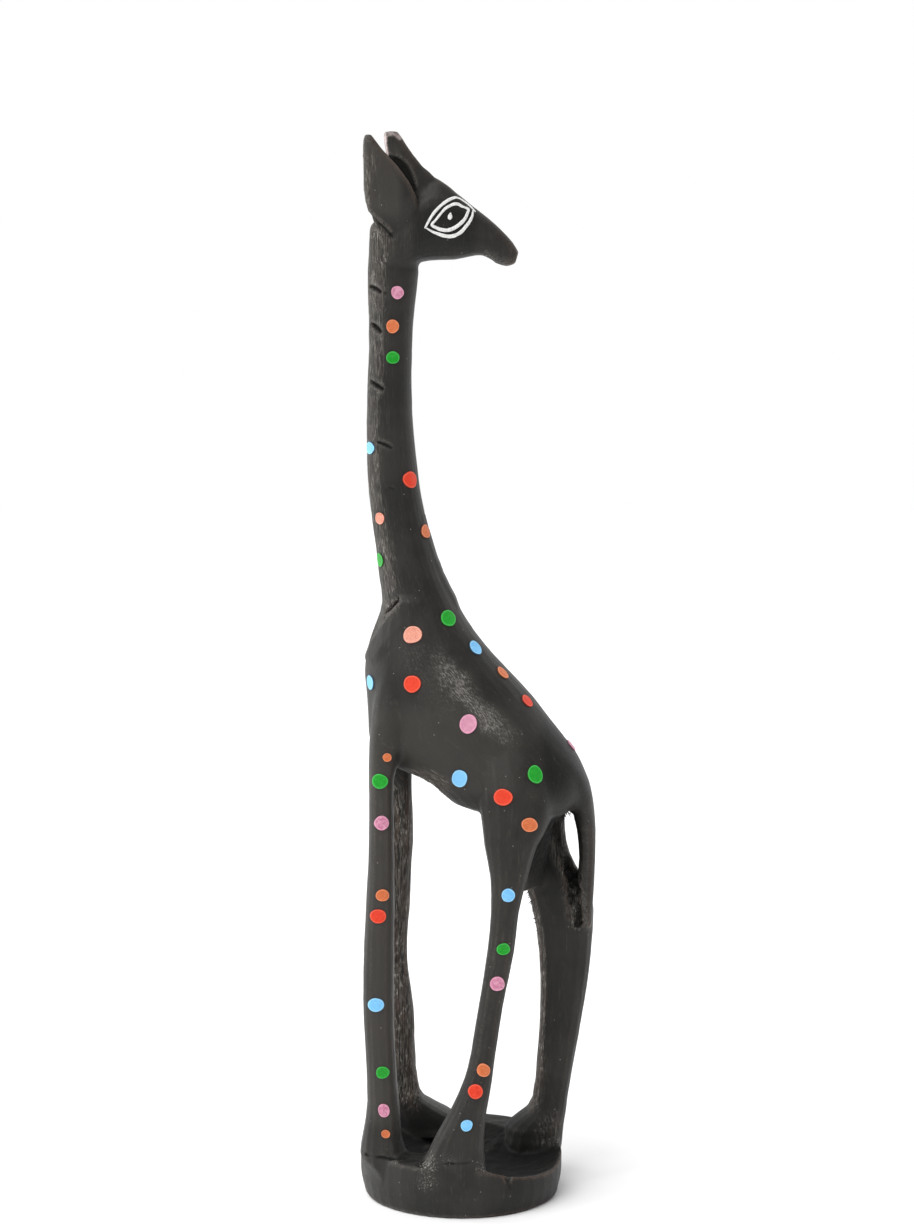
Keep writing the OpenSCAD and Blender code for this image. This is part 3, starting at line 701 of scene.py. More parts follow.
def grain_place():
    """Coordinates for the grain: it runs up the legs and neck, and along the back in the trunk."""
    p = skin.points / SIZE
    trunk = smooth(116, 136, p[:, 2])
    trunk_depth = 26.0
    p[:, 0] = p[:, 0] * (1.0 - trunk) + trunk_depth * share_across(skin.points) * trunk
    return p


def put(mesh, name, values):
    """Stores values on a mesh's points, one number or one vector each."""
    kind, field = ("FLOAT", "value") if values.ndim == 1 else ("FLOAT_VECTOR", "vector")
    layer = mesh.attributes.get(name) or mesh.attributes.new(name, kind, "POINT")
    layer.data.foreach_set(field, values.astype(np.float32).ravel())


edges, hollows = edge_and_hollow()
skin.store()
PAINT_VALUES = {
    "edge": edges,
    # Painted shade: creases, the bottoms of the cuts and the places marked black are darkened
    "hollow": np.clip(np.maximum.reduce([hollows, cavity, WORKED["black"]]), 0, 1),
    # Wear, and on the nape painted sheen
    "worn": wear_and_sheen_patches(),
    "painted_light_and_shade": painted_light_and_shade(),
    "rough": np.clip(WORKED["rough"], 0, 1),
    "brown": np.clip(WORKED["brown"], 0, 1),
    # Painted rim light: right-facing sides take a browner colour on their ridges
    "painted_rim_light": smooth(-0.1, 0.5, skin.normals[:, 0]),
    "occlusion_shade": np.clip(occlusion_shade(), 0, 1),
    "brushed": painted_sheen_band(),
    "pale_edge": pale_horn_edge(),
    "grain": grain_place(),
    "skin_normal": skin.normals,
}
for name, values in PAINT_VALUES.items():
    put(skin.mesh, name, values)


# ---- Cutting the skin into the wooden members ----

def mesh_object(name, points, faces):
    mesh = bpy.data.meshes.new(name)
    mesh.from_pydata([tuple(q) for q in points], [], faces)
    mesh.validate()
    return add_object(name, mesh)


def prism(outline, plane, low, high):
    """A closed prism: outline in the plane's two axes, low to high along the third. Millimetres."""
    first, second, third = {"xz": (0, 2, 1), "yz": (1, 2, 0)}[plane]
    if sum(a[0] * b[1] - b[0] * a[1] for a, b in zip(outline, outline[1:] + outline[:1])) < 0:
        outline = outline[::-1]
    count = len(outline)
    points = []
    for level in (low, high):
        for q in outline:
            point = [0.0, 0.0, 0.0]
            point[first], point[second], point[third] = q[0], q[1], level
            points.append([c * SIZE * MM for c in point])
    faces = [list(range(count)), [count + i for i in reversed(range(count))]]
    faces += [[(i + 1) % count, i, count + i, count + (i + 1) % count] for i in range(count)]
    if plane == "yz":
        faces = [f[::-1] for f in faces]
    return mesh_object("cutter", points, faces)


def across(outline):
    """A region drawn in the side view, through the whole width."""
    return ("INTERSECT", outline, "xz", -FAR, FAR)


LEGS_MIDDLE = -4
LEFT_HALF = (
    "INTERSECT", [(-FAR, -FAR), (LEGS_MIDDLE, -FAR), (LEGS_MIDDLE, FAR), (-FAR, FAR)], "yz", -FAR, FAR,
)
RIGHT_HALF = (
    "INTERSECT", [(LEGS_MIDDLE, -FAR), (FAR, -FAR), (FAR, FAR), (LEGS_MIDDLE, FAR)], "yz", -FAR, FAR,
)
TAIL_OUTLINE = [
    (32.3, 118), (45, 118), (45, 78), (34.6, 78), (34, 86), (33.7, 92),
    (33.9, 98), (33.4, 103), (32.2, 109), (31.2, 113),
]
TAIL = ("INTERSECT", TAIL_OUTLINE, "xz", -10, 8.6)
NOT_TAIL = ("DIFFERENCE", *TAIL[1:])
# Ears and horns are cut off along one plane that rises 30 degrees towards the muzzle
TILT = math.tan(math.radians(30))
PRONG_LOW = (-60, 281 + (-60 + 25.5) * TILT)
PRONG_HIGH = (60, 281 + (60 + 25.5) * TILT)
PRONGS = across([PRONG_LOW, PRONG_HIGH, (60, FAR), (-60, FAR)])


def beside_head(side, outline):
    """A region drawn in the front view as (distance from the head's middle, z)."""
    return ("INTERSECT", [(1 + side * d, z) for d, z in outline], "yz", -FAR, FAR)


HORN = [(0, 270), (4.8, 270), (8.3, 320), (0, 320)]
EAR = [(4.8, 270), (60, 270), (60, 320), (8.3, 320)]

MEMBERS = {
    "base": [across([(-60, -60), (60, -60), (60, 16), (-60, 16)])],
    "left_front_leg": [across([(-60, 16), (-11, 16), (-11, 121), (-60, 121)]), LEFT_HALF],
    "right_front_leg": [
        across([(-60, 16), (8, 16), (8, 60), (-11, 60), (-11, 121), (-60, 121)]), RIGHT_HALF,
    ],
    "left_hind_leg": [across([(-11, 16), (60, 16), (60, 89), (-11, 89)]), LEFT_HALF],
    "right_hind_leg": [
        across([(8, 16), (60, 16), (60, 89), (-11, 89), (-11, 60), (8, 60)]), RIGHT_HALF, NOT_TAIL,
    ],
    "torso": [
        across([(-60, 121), (-11, 121), (-11, 89), (0, 89), (0, 124), (60, 124), (60, 176), (-60, 176)]),
    ],
    "haunches": [across([(0, 89), (60, 89), (60, 124), (0, 124)]), NOT_TAIL],
    "tail": [TAIL],
    "neck": [across([(-60, 176), (60, 176), (60, 266.5), (-60, 266.5)])],
    "head": [across([(-50, 266.5), (60, 266.5), PRONG_HIGH, PRONG_LOW])],
    "left_ear": [PRONGS, beside_head(1, EAR)],
    "right_ear": [PRONGS, beside_head(-1, EAR)],
    "left_horn": [PRONGS, beside_head(1, HORN)],
    "right_horn": [PRONGS, beside_head(-1, HORN)],
}


def member(name, steps):
    """One wooden member: the skin inside its region, closed where it was cut."""
    mesh = skin.mesh
    for operation, *region_shape in steps:
        work = add_object("work", mesh)
        cutter = prism(*region_shape)
        cut = work.modifiers.new("cut", "BOOLEAN")
        cut.operation = operation
        cut.solver = "MANIFOLD"
        cut.object = cutter
        graph = bpy.context.evaluated_depsgraph_get()
        mesh = bpy.data.meshes.new_from_object(work.evaluated_get(graph))
        bpy.data.objects.remove(work)
        bpy.data.objects.remove(cutter)
    mesh.name = "carved_" + name
    return add_object("carved_" + name, mesh)


def fetch(mesh, name):
    """The values of one of the skin's attributes, one row for each point."""
    layer = mesh.attributes[name]
    field, width = ("value", 1) if layer.data_type == "FLOAT" else ("vector", 3)
    return read(layer.data, field, width, np.float32).astype(float)


SKIN_VALUES = {name: fetch(skin.mesh, name) for name in PAINT_VALUES}


def shade_like_skin(obj):
    """Points made by a cut take their values from the skin beside them.

    Every point shades with the whole skin's normal, so that no line shows where members meet.
    """
    mesh = obj.data
    values = {name: fetch(mesh, name) for name in SKIN_VALUES}
    made = np.flatnonzero(np.linalg.norm(values["skin_normal"], axis=1) < 0.5)
    for i in made:
        place = mesh.vertices[i].co
        corners = skin.faces[skin_tree.find_nearest(place)[2]]
        gaps = np.linalg.norm(skin.points[corners] - np.array(place) / MM, axis=1)
        weights = 1.0 / (gaps + 1e-4)
        weights /= weights.sum()
        for name, whole in SKIN_VALUES.items():
            values[name][i] = weights @ whole[corners]
    for name in SKIN_VALUES:
        put(mesh, name, values[name])
    mesh.shade_smooth()
    mesh.normals_split_custom_set_from_vertices(unit(values["skin_normal"]))
    mesh.attributes.remove(mesh.attributes["skin_normal"])


# ---- Paint on the skin ----

def onto_skin(start, direction, reach=0.012):
    """Where a ray from start meets the skin, and the skin's outward normal there. Metres."""
    start, direction = Vector(start), Vector(direction)
    place, normal, _, _ = skin_tree.ray_cast(start, direction, reach)
    if place is None:
        place, normal, _, _ = skin_tree.find_nearest(start + direction * reach * 0.3)
    return np.array(place), np.array(normal)


def loose_parts(mesh):
    """Points of each separate solid of a mesh, in metres."""
    co = read(mesh.vertices, "co", 3, np.float32).astype(float)
    _, same = np.unique(np.round(co * 1e6).astype(np.int64), axis=0, return_inverse=True)
    same = same.ravel()
    label = np.arange(same.max() + 1)
    pairs = same[read(mesh.edges, "vertices", 2)]
    while True:
        lowest = label.copy()
        np.minimum.at(lowest, pairs[:, 0], label[pairs[:, 1]])
        np.minimum.at(lowest, pairs[:, 1], label[pairs[:, 0]])
        if (lowest == label).all():
            break
        label = lowest
    group = label[same]
    return [co[group == g] for g in np.unique(group)]


def joined(shapes):
    """Points and faces of several shapes as those of one."""
    points, faces = [], []
    for shape_points, shape_faces in shapes:
        start = len(points)
        points += shape_points
        faces += [tuple(start + i for i in face) for face in shape_faces]
    return points, faces


def ring_faces(first, second, count):
    """Quads between two closed rings, given where the points of each start."""
    return [(first + i, first + (i + 1) % count, second + (i + 1) % count, second + i) for i in range(count)]


DOT_RINGS = [
    # Share of the radius, and height as a share of the thickness
    (0.22, 0.74), (0.42, 0.74), (0.6, 0.75), (0.72, 0.79), (0.8, 0.88),
    (0.86, 0.98), (0.91, 1.0), (0.95, 0.86), (0.98, 0.55), (1.0, 0.12),
]
MIDDLE_HEIGHT = 0.74
AROUND = 40
DOT_THICKNESS = 0.42 * MM
DOT_ROOT = 0.15 * MM
RAY_START = 0.004


def wobbly_circle(seed):
    """Angles round a dot and how far its hand-made edge reaches at each."""
    angles = np.linspace(0, 2 * math.pi, AROUND, endpoint=False)
    random = np.random.default_rng(seed)
    wobble = np.ones(AROUND)
    for k, size in ((2, 0.03), (3, 0.025), (4, 0.015), (5, 0.012)):
        wobble += size * random.uniform(-1, 1) * np.cos(k * angles + random.uniform(0, 6.3))
    return list(zip(angles, wobble))


def dot_shape(cloud, seed):
    """One dried blob of paint with a thicker rim, lying on the skin. Metres."""
    centre = cloud.mean(0)
    spread = np.linalg.svd(cloud - centre, full_matrices=False)[2]
    normal = np.array(skin_tree.find_nearest(Vector(centre))[1])
    outwards = spread[2] if spread[2] @ normal > 0 else -spread[2]
    flat = (cloud - centre) - np.outer((cloud - centre) @ outwards, outwards)
    a = spread[0]
    b = np.cross(outwards, a)
    half = (0.94 * np.abs(flat @ a).max(), 0.94 * np.abs(flat @ b).max())
    top, n = onto_skin(centre + outwards * RAY_START, -outwards)
    points, ring_share, under = [top + n * DOT_THICKNESS * MIDDLE_HEIGHT], [0.0], []
    circle = wobbly_circle(seed)
    for share, height in DOT_RINGS:
        for angle, w in circle:
            offset = share * w * (half[0] * math.cos(angle) * a + half[1] * math.sin(angle) * b)
            q, n = onto_skin(centre + offset + outwards * RAY_START, -outwards)
            points.append(q + n * DOT_THICKNESS * height)
            ring_share.append(share)
            under.append(q - n * DOT_ROOT)
    points += under[-AROUND:]
    points.append(top - n * DOT_ROOT)
    ring_share += [1.0] * (AROUND + 1)
    faces = [(0, 1 + i, 1 + (i + 1) % AROUND) for i in range(AROUND)]
    for k in range(len(DOT_RINGS)):
        ring = 1 + k * AROUND
        following = ring + AROUND
        for i in range(AROUND):
            j = (i + 1) % AROUND
            faces.append((ring + i, following + i, following + j, ring + j))
    end = len(points) - 1
    faces += [(end - AROUND + i, end, end - AROUND + (i + 1) % AROUND) for i in range(AROUND)]
    if np.dot(np.cross(points[2] - points[1], points[1] - points[0]), outwards) > 0:
        faces = [face[::-1] for face in faces]
    return points, faces, ring_share


def dot_group(node, seed):
    """All dots of one colour. The large ones take more of the mottled colour."""
    shapes, shares, tints = [], [], []
    random = np.random.default_rng(seed)
    for k, cloud in enumerate(loose_parts(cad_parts[node].data)):
        points, faces, ring_share = dot_shape(cloud, seed * 100 + k)
        shapes.append((points, faces))
        shares += ring_share
        large = np.ptp(cloud, axis=0).max() > 4.9 * SIZE * MM
        tints += [1.0 if large else random.uniform(0, 0.4)] * len(points)
    obj = mesh_object("painted_" + node, *joined(shapes))
    put(obj.data, "ring", np.array(shares))
    put(obj.data, "tint", np.array(tints))
    obj.data.shade_smooth()
    return obj


STROKE_STEPS = 150
STROKE_ROOT = 0.1 * MM
# Section of a brush stroke: share of its width, and height as a share of its thickness
STROKE_PROFILE = [(-0.5, 0.1), (-0.42, 0.7), (-0.2, 1.0), (0.0, 0.92), (0.2, 1.0), (0.42, 0.7), (0.5, 0.1)]


def stroke(line, widths, side, closed=False, thickness=0.16):
    """One brush stroke on the head: line of (x, z), side -1 near or 1 far."""
    count = STROKE_STEPS
    middle = curve_through(line, count, closed)
    ahead = np.roll(middle, -1, 0) - np.roll(middle, 1, 0) if closed else np.gradient(middle, axis=0)
    places = np.linspace(0, 1, count, endpoint=not closed)
    width = np.interp(places, np.linspace(0, 1, len(widths)), widths)
    sideways = unit(np.stack([-ahead[:, 1], ahead[:, 0]], 1))
    wave = noise(np.stack([middle[:, 0], middle[:, 1], np.zeros(count)], 1) / 0.7, 91)
    width = 1.15 * width * (1 + 0.10 * wave)
    points = []
    for m, o, w in zip(middle, sideways, width):
        roots = []
        for share, height in STROKE_PROFILE:
            x, z = (m + o * w * share) * SIZE * MM
            place, n = onto_skin((x, side * 0.02, z), (0, -side, 0), 0.03)
            points.append(place + n * thickness * height * MM)
            roots.append(place - n * STROKE_ROOT)
        points += [roots[-1], roots[0]]
    section = len(STROKE_PROFILE) + 2
    faces = []
    for i in range(count if closed else count - 1):
        faces += ring_faces(i * section, (i + 1) % count * section, section)
    if not closed:
        faces.append(tuple(reversed(range(section))))
        faces.append(tuple((count - 1) * section + k for k in range(section)))
    if side > 0:
        faces = [face[::-1] for face in faces]
    return points, faces


# The eye's strokes: (x, z) along each, and widths spread evenly along it
OUTER_TOP = [
    (-10.3, 278.0), (-9.1, 280.2), (-7.9, 282.1), (-6.4, 283.8), (-5.0, 285.0), (-3.5, 286.0),
    (-2.1, 286.6), (-1.1, 286.6), (0.1, 286.0), (1.6, 285.0), (2.8, 283.9), (3.9, 282.7),
]
OUTER_TOP_WIDTHS = [0.35, 0.6, 0.7, 0.72, 0.75, 0.8, 0.7, 0.4, 0.35, 0.4, 0.35, 0.2]
OUTER_BOTTOM = [
    (-9.9, 278.1), (-8.2, 277.1), (-6.6, 276.5), (-5.0, 276.0), (-3.2, 275.8), (-1.6, 276.2),
    (0.0, 277.2), (1.2, 278.6), (2.3, 280.1), (3.0, 281.6), (3.2, 283.2),
]
OUTER_BOTTOM_WIDTHS = [0.3, 0.6, 0.8, 0.85, 0.9, 0.9, 0.85, 0.8, 0.75, 0.6, 0.3]
INNER = [
    (-8.3, 279.0), (-7.2, 280.4), (-6.0, 281.9), (-4.7, 283.4), (-3.5, 284.2), (-2.2, 284.8),
    (-1.0, 284.8), (0.1, 284.2), (1.2, 283.8), (1.9, 283.3), (1.6, 282.2), (1.0, 280.9),
    (0.0, 279.7), (-1.2, 278.7), (-2.6, 277.9), (-4.1, 277.5), (-5.8, 277.7), (-7.1, 278.2),
]
INNER_WIDTHS = [
    0.7, 0.55, 0.6, 0.65, 0.7, 0.75, 0.8, 0.6, 0.55, 0.7, 0.65, 0.75, 0.85, 0.9, 0.9, 0.85, 0.85, 0.8, 0.7,
]
GLINT = [(-3.25, 280.4), (-3.3, 280.8), (-3.25, 281.3), (-3.2, 281.8), (-3.1, 282.4)]
GLINT_WIDTHS = [0.2, 1.0, 1.2, 0.9, 0.2]


def eye(side):
    """The strokes of each painted piece of one eye."""
    return {
        "outer_line": [
            stroke(OUTER_TOP, OUTER_TOP_WIDTHS, side),
            stroke(OUTER_BOTTOM, OUTER_BOTTOM_WIDTHS, side, thickness=0.2),
        ],
        "inner_line": [stroke(INNER, INNER_WIDTHS, side, closed=True)],
        "glint": [stroke(GLINT, GLINT_WIDTHS, side, thickness=0.25)],
    }


TORN_EDGES = [
    # From, to, way the fibres lean, how many, and length of the longest
    # Left edge of the right hind leg
    ((16.5, 6, 94), (21.5, 8, 76), (-1.0, -0.5, -0.5), 22, 1.8),
    ((21.6, 8, 76), (22.6, 8, 58), (-1.0, -0.5, -0.5), 7, 0.9),
    # Arch in front of the belly
    ((-18.5, 6, 123), (-12.5, 6, 123.5), (0.1, -0.4, -1.0), 14, 1.2),
    # Arch and wall of the tail hole
    ((27.5, -8, 111.5), (31.5, -4, 111.5), (0.5, -0.6, -0.9), 14, 2.4),
    ((28.2, 3, 103.5), (32.0, 3, 95.5), (0.9, -0.5, 0.3), 12, 1.6),
    # Right edge of the right front leg
    ((-13.5, 15, 60), (-12.5, 15, 32), (1.0, -0.4, -0.4), 7, 0.7),
]


def splinter(random, first, last, lean, longest):
    """One thin closed spike that stands out of the skin somewhere between first and last."""
    share = random.uniform(0, 1)
    near = np.array(first) * (1 - share) + np.array(last) * share + random.normal(0, 0.5, 3)
    place, normal, _, _ = skin_tree.find_nearest(Vector(near * SIZE * MM))
    place, normal = np.array(place), np.array(normal)
    way = unit((np.array(lean) + 0.6 * normal + random.normal(0, 0.35, 3))[None])[0]
    if way @ normal < 0.25:
        way = unit((way + 0.6 * normal)[None])[0]
    length = random.uniform(0.35, 1.0) * longest * SIZE * MM
    thick = random.uniform(0.12, 0.22) * SIZE * MM
    root = place - way * 0.15 * MM
    a = unit(np.cross(way, (0.3, 0.9, 0.2))[None])[0]
    b = np.cross(way, a)
    bend = a * random.normal(0, 0.12) * length
    turns = [math.pi / 2 * k for k in range(4)]
    section = [(a * math.cos(turn) + b * math.sin(turn)) * thick for turn in turns]
    points = [root + q for q in section]
    points += [root + way * length * 0.55 + bend + q * 0.6 for q in section]
    points.append(root + way * length)
    faces = [(3, 2, 1, 0)]
    for k, side in enumerate(ring_faces(0, 4, 4)):
        faces += [side, (4 + k, 4 + (k + 1) % 4, 8)]
    return points, faces


def splinters():
    """Torn fibres at the cut edges."""
    random = np.random.default_rng(5)
    spikes = [
        splinter(random, first, last, lean, longest)
        for first, last, lean, count, longest in TORN_EDGES
        for _ in range(count)
    ]
    return mesh_object("splinters", *joined(spikes))


# ---- Materials ----

class Graph:
    """A short way to write nodes: each call adds one and gives its output."""

    def __init__(self, tree):
        self.tree = tree

    def feed(self, target, value):
        if isinstance(value, bpy.types.NodeSocket):
            self.tree.links.new(value, target)
        else:
            target.default_value = value

    def node(self, kind, inputs, output=0, **settings):
        made = self.tree.nodes.new(kind)
        for key, value in settings.items():
            setattr(made, key, value)
        for key, value in inputs.items():
            self.feed(made.inputs[key], value)
        return made.outputs[output]

    def value(self, name, output="Fac"):
        return self.node("ShaderNodeAttribute", {}, output, attribute_name=name)

    def math(self, operation, a, b=0.0, clamp=False):
        return self.node("ShaderNodeMath", {0: a, 1: b}, operation=operation, use_clamp=clamp)

    def times(self, a, b):
        return self.math("MULTIPLY", a, b)

    def span(self, value, low, high, out_low=0.0, out_high=1.0):
        """A smooth step from one pair of values to another."""
        inputs = dict(enumerate((value, low, high, out_low, out_high)))
        return self.node("ShaderNodeMapRange", inputs, interpolation_type="SMOOTHSTEP")

    def scaled(self, vector, scale):
        return self.node("ShaderNodeVectorMath", {0: vector, 1: scale}, operation="MULTIPLY")

    def along(self, vector, direction):
        return self.node("ShaderNodeVectorMath", {0: vector, 1: direction}, "Value", operation="DOT_PRODUCT")

    def place(self):
        """Where a point of the object is, in millimetres."""
        return self.scaled(self.node("ShaderNodeTexCoord", {}, "Object"), (1000, 1000, 1000))

    def noise(self, vector, scale=1.0, detail=3.0, roughness=0.55, distortion=0.0):
        inputs = {"Vector": vector, "Scale": scale, "Detail": detail, "Roughness": roughness}
        return self.node("ShaderNodeTexNoise", {**inputs, "Distortion": distortion}, "Fac")

    def cells(self, vector, scale, output="Distance", feature="F1"):
        return self.node("ShaderNodeTexVoronoi", {"Vector": vector, "Scale": scale}, output, feature=feature)

    def mix(self, factor, a, b):
        return self.node("ShaderNodeMix", {"Factor": factor, "A": a, "B": b}, "Result", data_type="RGBA")

    def over(self, colour, mask, strength, paint):
        """The colour with paint laid over it where the mask is."""
        return self.mix(self.times(mask, strength), colour, paint)

    def bump(self, height, distance, strength=1.0, **normal):
        inputs = {"Strength": strength, "Distance": distance, "Height": height, **normal}
        return self.node("ShaderNodeBump", inputs, "Normal")


def new_material(name):
    """A node material with nothing in it yet, and a graph to fill it with."""
    material = bpy.data.materials.new(name)
    material.use_nodes = True
    material.node_tree.nodes.clear()
    return material, Graph(material.node_tree)


def finished(material, g, colour, roughness, specular=0.5, **normal):
    """The material, with its shader and output added."""
    inputs = {"Base Color": colour, "Roughness": roughness, "Specular IOR Level": specular, **normal}
    surface = g.node("ShaderNodeBsdfPrincipled", inputs, "BSDF")
    g.feed(g.tree.nodes.new("ShaderNodeOutputMaterial").inputs["Surface"], surface)
    return material


def rgb(red, green, blue):
    """A colour given in sRGB steps of 255, as the linear one that the shader wants."""
    shares = (red / 255, green / 255, blue / 255)
    linear = [c / 12.92 if c <= 0.04045 else ((c + 0.055) / 1.055)**2.4 for c in shares]
    return (*linear, 1.0)


def painted_highlight_streaks(g, place, sheen_band):
    """Bright bristle streaks that run down towards the tail, lit as painted highlight."""
    lengthwise = g.times(g.along(place, (0.66, 0, -0.75)), 0.8)
    sideways = g.times(g.along(place, (0.75, 0, 0.66)), 3.4)
    stroke_place = g.node("ShaderNodeCombineXYZ", {0: lengthwise, 1: sideways})
    bristles = g.noise(stroke_place, detail=3, roughness=0.75, distortion=0.4)
    raised = g.math("ADD", bristles, g.times(sheen_band, 0.12))
    return g.times(g.span(sheen_band, 0.0, 0.9), g.span(raised, 0.54, 0.74))


def painted_glints(g, place, grain, torn):
    """Painted highlight: pale glinting ridges among torn fibres, in clusters."""
    ridges = g.noise(g.scaled(grain, (1.5, 1.5, 0.5)), detail=5, roughness=0.75)
    glint = g.times(torn, g.span(ridges, 0.5, 0.62))
    return g.times(glint, g.span(g.noise(place, 0.2, detail=2), 0.4, 0.6, 0.25, 1.0))


def dust_flecks(g, place):
    """A few small pale specks of dust."""
    chosen = g.math("GREATER_THAN", g.noise(g.cells(place, 0.5, "Position"), 3.1, detail=0), 0.58)
    return g.times(g.math("LESS_THAN", g.cells(place, 0.5), 0.075), chosen)


def worn_specks(g, place, worn):
    """The scatter of pale specks in a rubbed patch; on the nape they are a painted highlight."""
    scatter = g.noise(place, 1.9, detail=4, roughness=0.8)
    speckled = g.span(g.math("ADD", scatter, g.times(worn, 0.12)), 0.58, 0.72)
    return g.times(speckled, g.span(worn, 0.0, 0.6))


def painted_wood():
    """Charcoal black stain on close-grained wood: streaks, wear on edges, raw chisel work, and painted light
    and shade.
    """
    material, g = new_material("painted_wood")
    place = g.place()
    grain = g.value("grain", "Vector")
    fine = g.noise(g.scaled(grain, (2.6, 2.6, 0.22)), detail=4, roughness=0.65)
    broad = g.noise(g.scaled(grain, (0.7, 0.7, 0.05)), detail=3)
    patch = g.noise(place, 0.07, detail=3)
    speck = g.noise(place, 2.2, detail=2)
    edge, hollow, pale_edge, sheen_band, worn, light_and_shade, brown, rough_zone = (
        g.value(name) for name in ("edge", "hollow", "pale_edge", "brushed", "worn", "painted_light_and_shade", "brown", "rough")
    )
    streaks = g.times(g.span(fine, 0.5, 0.68), g.span(broad, 0.4, 0.65))
    torn = g.times(rough_zone, g.span(fine, 0.42, 0.62))
    brushed = painted_highlight_streaks(g, place, sheen_band)
    occlusion_shade_mask = g.span(g.value("occlusion_shade"), 0.3, 0.75)
    edge_wear_and_rim_light = g.mix(g.value("painted_rim_light"), rgb(112, 108, 103), rgb(98, 78, 66))
    pale = g.mix(g.span(fine, 0.35, 0.65), rgb(190, 172, 168), rgb(222, 206, 204))

    colour = g.mix(g.span(patch, 0.35, 0.65), rgb(33, 32, 30), rgb(43, 41, 38))
    for mask, strength, paint in (
        # Painted light and painted shade, area by area
        (g.span(light_and_shade, 0.0, 1.0), 0.7, rgb(64, 61, 57)),
        (g.span(light_and_shade, 0.0, -1.0), 0.7, rgb(11, 11, 10)),
        (streaks, 0.4, rgb(72, 69, 64)),
        # Pale chisel grain; on the nape and ear backs partly painted highlight
        (torn, 0.6, rgb(116, 110, 102)),
        (g.times(brown, g.span(broad, 0.45, 0.62)), 0.4, rgb(78, 54, 42)),
        # Painted sheen over the near side of the trunk
        (sheen_band, 0.16, rgb(110, 108, 103)),
        # Brush marks lit as painted highlight
        (brushed, 0.6, rgb(158, 155, 149)),
        # Painted highlight on the torn fibres
        (painted_glints(g, place, grain, torn), 0.85, rgb(184, 180, 173)),
        # Wear on ridges, browner on right-facing sides as painted rim light
        (g.times(edge, g.span(speck, 0.3, 0.6)), 0.5, edge_wear_and_rim_light),
        (dust_flecks(g, place), 0.55, rgb(160, 156, 148)),
        # Rubbed wear, and on the nape painted sheen
        (worn, 0.25, rgb(92, 89, 84)),
        # Painted shade: nearly black where the wood closes in round a point
        (occlusion_shade_mask, 0.85, rgb(9, 9, 8)),
        # Painted shade in creases, cuts and the places marked black
        (hollow, 0.88, rgb(10, 10, 9)),
        (worn_specks(g, place, worn), 0.75, rgb(176, 173, 166)),
    ):
        colour = g.over(colour, mask, strength, paint)
    colour = g.mix(pale_edge, colour, pale)

    finish = g.math("ADD", g.span(fine, 0.3, 0.7, 0.42, 0.6), g.times(rough_zone, 0.1))
    finish = g.math("ADD", finish, g.times(g.math("MAXIMUM", occlusion_shade_mask, hollow), 0.4), clamp=True)
    relief = g.times(fine, g.span(rough_zone, 0.0, 1.0, 0.6, 3.0))
    relief = g.math("ADD", relief, g.times(brushed, 0.3))
    normal = g.bump(relief, 0.00013)
    normal = g.bump(g.noise(place, 1.1, detail=4), 0.00012, 0.6, Normal=normal)
    return finished(material, g, colour, finish, 0.25, Normal=normal)


def dot_paint(name, colour, rim, mottled, crackle):
    """Enamel-like craft paint: an even face, a lighter rim that is a painted highlight on the raised edge, a
    dark border that is painted shade, a little mottling, maybe fine cracks.
    """
    material, g = new_material(name)
    place = g.place()
    ring = g.value("ring")
    cloud = g.noise(place, 1.3, detail=3)
    face = g.mix(g.span(cloud, 0.35, 0.7), colour, mottled)
    face = g.over(face, g.value("tint"), 0.55, mottled)
    # Painted highlight along the raised rim
    face = g.over(face, g.times(g.span(ring, 0.76, 0.86), g.span(ring, 0.96, 0.91)), 0.7, rim)
    # Painted shade round the dot's outer edge
    face = g.over(face, g.span(ring, 0.93, 0.98), 0.85, rgb(34, 24, 20))
    height = g.noise(place, 2.4, detail=3)
    if crackle:
        cracks = g.cells(place, 1.5, feature="DISTANCE_TO_EDGE")
        face = g.over(face, g.span(cracks, 0.0, 0.07, 1.0, 0.0), crackle, rgb(190, 84, 62))
        height = g.math("ADD", height, g.times(cracks, crackle))
    finish = g.span(cloud, 0.3, 0.7, 0.36, 0.52)
    return finished(material, g, face, finish, 0.3, Normal=g.bump(height, 0.00008))


def white_line():
    """Thin white brush paint, letting a little of the black through."""
    material, g = new_material("white_paint")
    place = g.place()
    cloud = g.noise(place, 2.6, detail=4)
    colour = g.mix(g.span(cloud, 0.3, 0.62), rgb(205, 205, 202), rgb(240, 240, 238))
    normal = g.bump(g.noise(place, 5.0, detail=3), 0.00005)
    return finished(material, g, colour, g.span(cloud, 0.3, 0.7, 0.45, 0.65), Normal=normal)


def use(obj, material):
    """Gives a piece its material."""
    obj.data.materials.clear()
    obj.data.materials.append(material)


# ---- Pieces ----

wood = painted_wood()
for name, steps in MEMBERS.items():
    piece = member(name, steps)
    shade_like_skin(piece)
    use(piece, wood)
    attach(piece, "root")
    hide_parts(name)

fibres = splinters()
use(fibres, wood)
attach(fibres, "root")

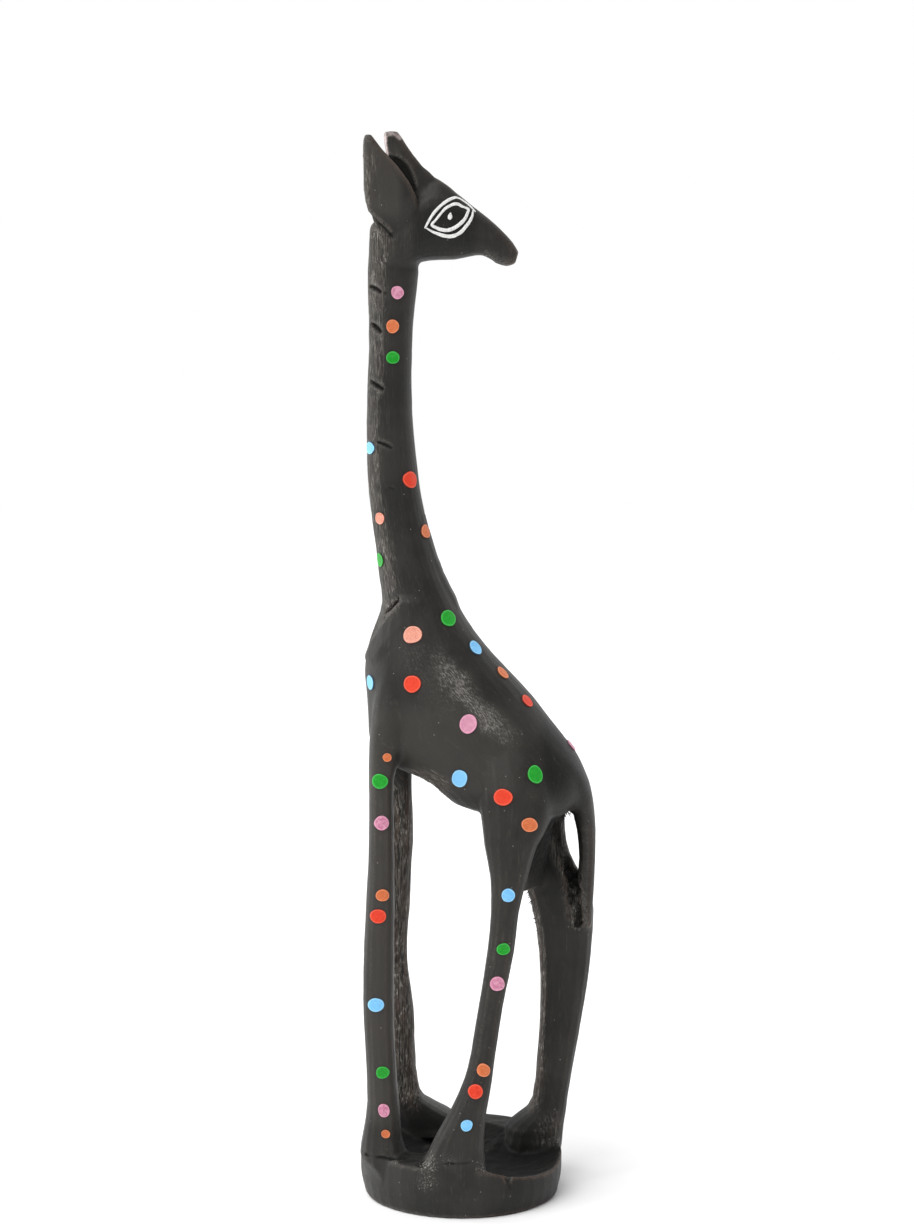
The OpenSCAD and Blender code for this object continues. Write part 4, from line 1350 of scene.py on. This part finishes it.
DOT_PAINTS = {
    # Face, rim (lighter, a painted highlight), mottling, and strength of the cracks
    "red_dots": (rgb(212, 50, 26), rgb(236, 96, 70), rgb(224, 66, 40), 0.0),
    "orange_dots": (rgb(200, 102, 56), rgb(234, 146, 104), rgb(214, 120, 76), 0.0),
    "salmon_dots": (rgb(220, 138, 114), rgb(238, 178, 156), rgb(230, 164, 144), 0.8),
    "green_dots": (rgb(10, 142, 26), rgb(70, 190, 84), rgb(34, 158, 46), 0.0),
    "blue_dots": (rgb(112, 186, 238), rgb(158, 214, 248), rgb(132, 198, 242), 0.0),
    "pink_dots": (rgb(188, 108, 140), rgb(226, 160, 186), rgb(216, 156, 178), 0.0),
}
for seed, (node, paint) in enumerate(DOT_PAINTS.items(), 1):
    piece = dot_group(node, seed)
    slot = node.replace("_dots", "_paint")
    use(piece, dot_paint(slot, *paint))
    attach(piece, "root")
    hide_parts(node)

white = white_line()
for side_name, side in (("right", -1), ("left", 1)):
    for part, strokes in eye(side).items():
        node = side_name + "_eye_" + part
        piece = mesh_object("painted_" + node, *joined(strokes))
        piece.data.shade_smooth()
        use(piece, white)
        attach(piece, "root")
        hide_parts(node)


# ---- Floor, light and camera, in metres ----

floor = mesh_object("floor", [(-3, -3, 0), (3, -3, 0), (3, 3, 0), (-3, 3, 0)], [(0, 1, 2, 3)])
floor.data.materials.append(finished(*new_material("floor"), (0.95, 0.95, 0.95, 1), 0.9, 0.1))


ROOM_LIGHT = 0.25
SWEEP_LIGHT = 1.1


def studio():
    """A white sweep behind the statue and a dim room in front of it.

    To the camera the sweep itself shows plain white.
    """
    world = bpy.data.worlds.new("studio")
    bpy.context.scene.world = world
    world.use_nodes = True
    g = Graph(world.node_tree)
    behind = g.node("ShaderNodeSeparateXYZ", {0: g.node("ShaderNodeTexCoord", {}, "Generated")}, "Y")
    level = g.span(behind, -0.6, 0.7, ROOM_LIGHT, SWEEP_LIGHT)
    camera_ray = g.node("ShaderNodeLightPath", {}, "Is Camera Ray")
    background = g.tree.nodes["Background"].inputs
    background["Color"].default_value = (1, 1, 1, 1)
    seen = {"Factor": camera_ray, "A": level, "B": 1.0}
    g.feed(background["Strength"], g.node("ShaderNodeMix", seen, "Result"))


def aimed(name, light, place, target):
    obj = add_object(name, light)
    obj.location = place
    obj.rotation_euler = (Vector(target) - Vector(place)).to_track_quat("-Z", "Y").to_euler()


def softbox(name, place, size, power):
    light = bpy.data.lights.new(name, "AREA")
    light.shape = "RECTANGLE"
    light.size, light.size_y = size
    light.energy = power
    aimed(name, light, place, (0, 0, 0.16))


studio()
key = bpy.data.lights.new("key", "SUN")
key.energy = 2.6
key.angle = math.radians(50)
aimed("key", key, (-0.5, -0.6, 1.0), (0, 0, 0))
softbox("left_softbox", (-1.0, 0.25, 0.3), (0.4, 1.0), 5)
softbox("right_softbox", (1.0, 0.35, 0.3), (0.3, 0.9), 1.2)

lens = bpy.data.cameras.new("camera")
lens.lens = 82.14
lens.sensor_width = 36
lens.clip_start = 0.01
camera = add_object("camera", lens)
camera.location = (-0.0013, -0.800, 0.251)
camera.rotation_euler = (math.radians(84.1), 0, 0)
bpy.context.scene.camera = camera
bpy.context.scene.view_settings.view_transform = "Standard"

bpy.context.view_layer.update()
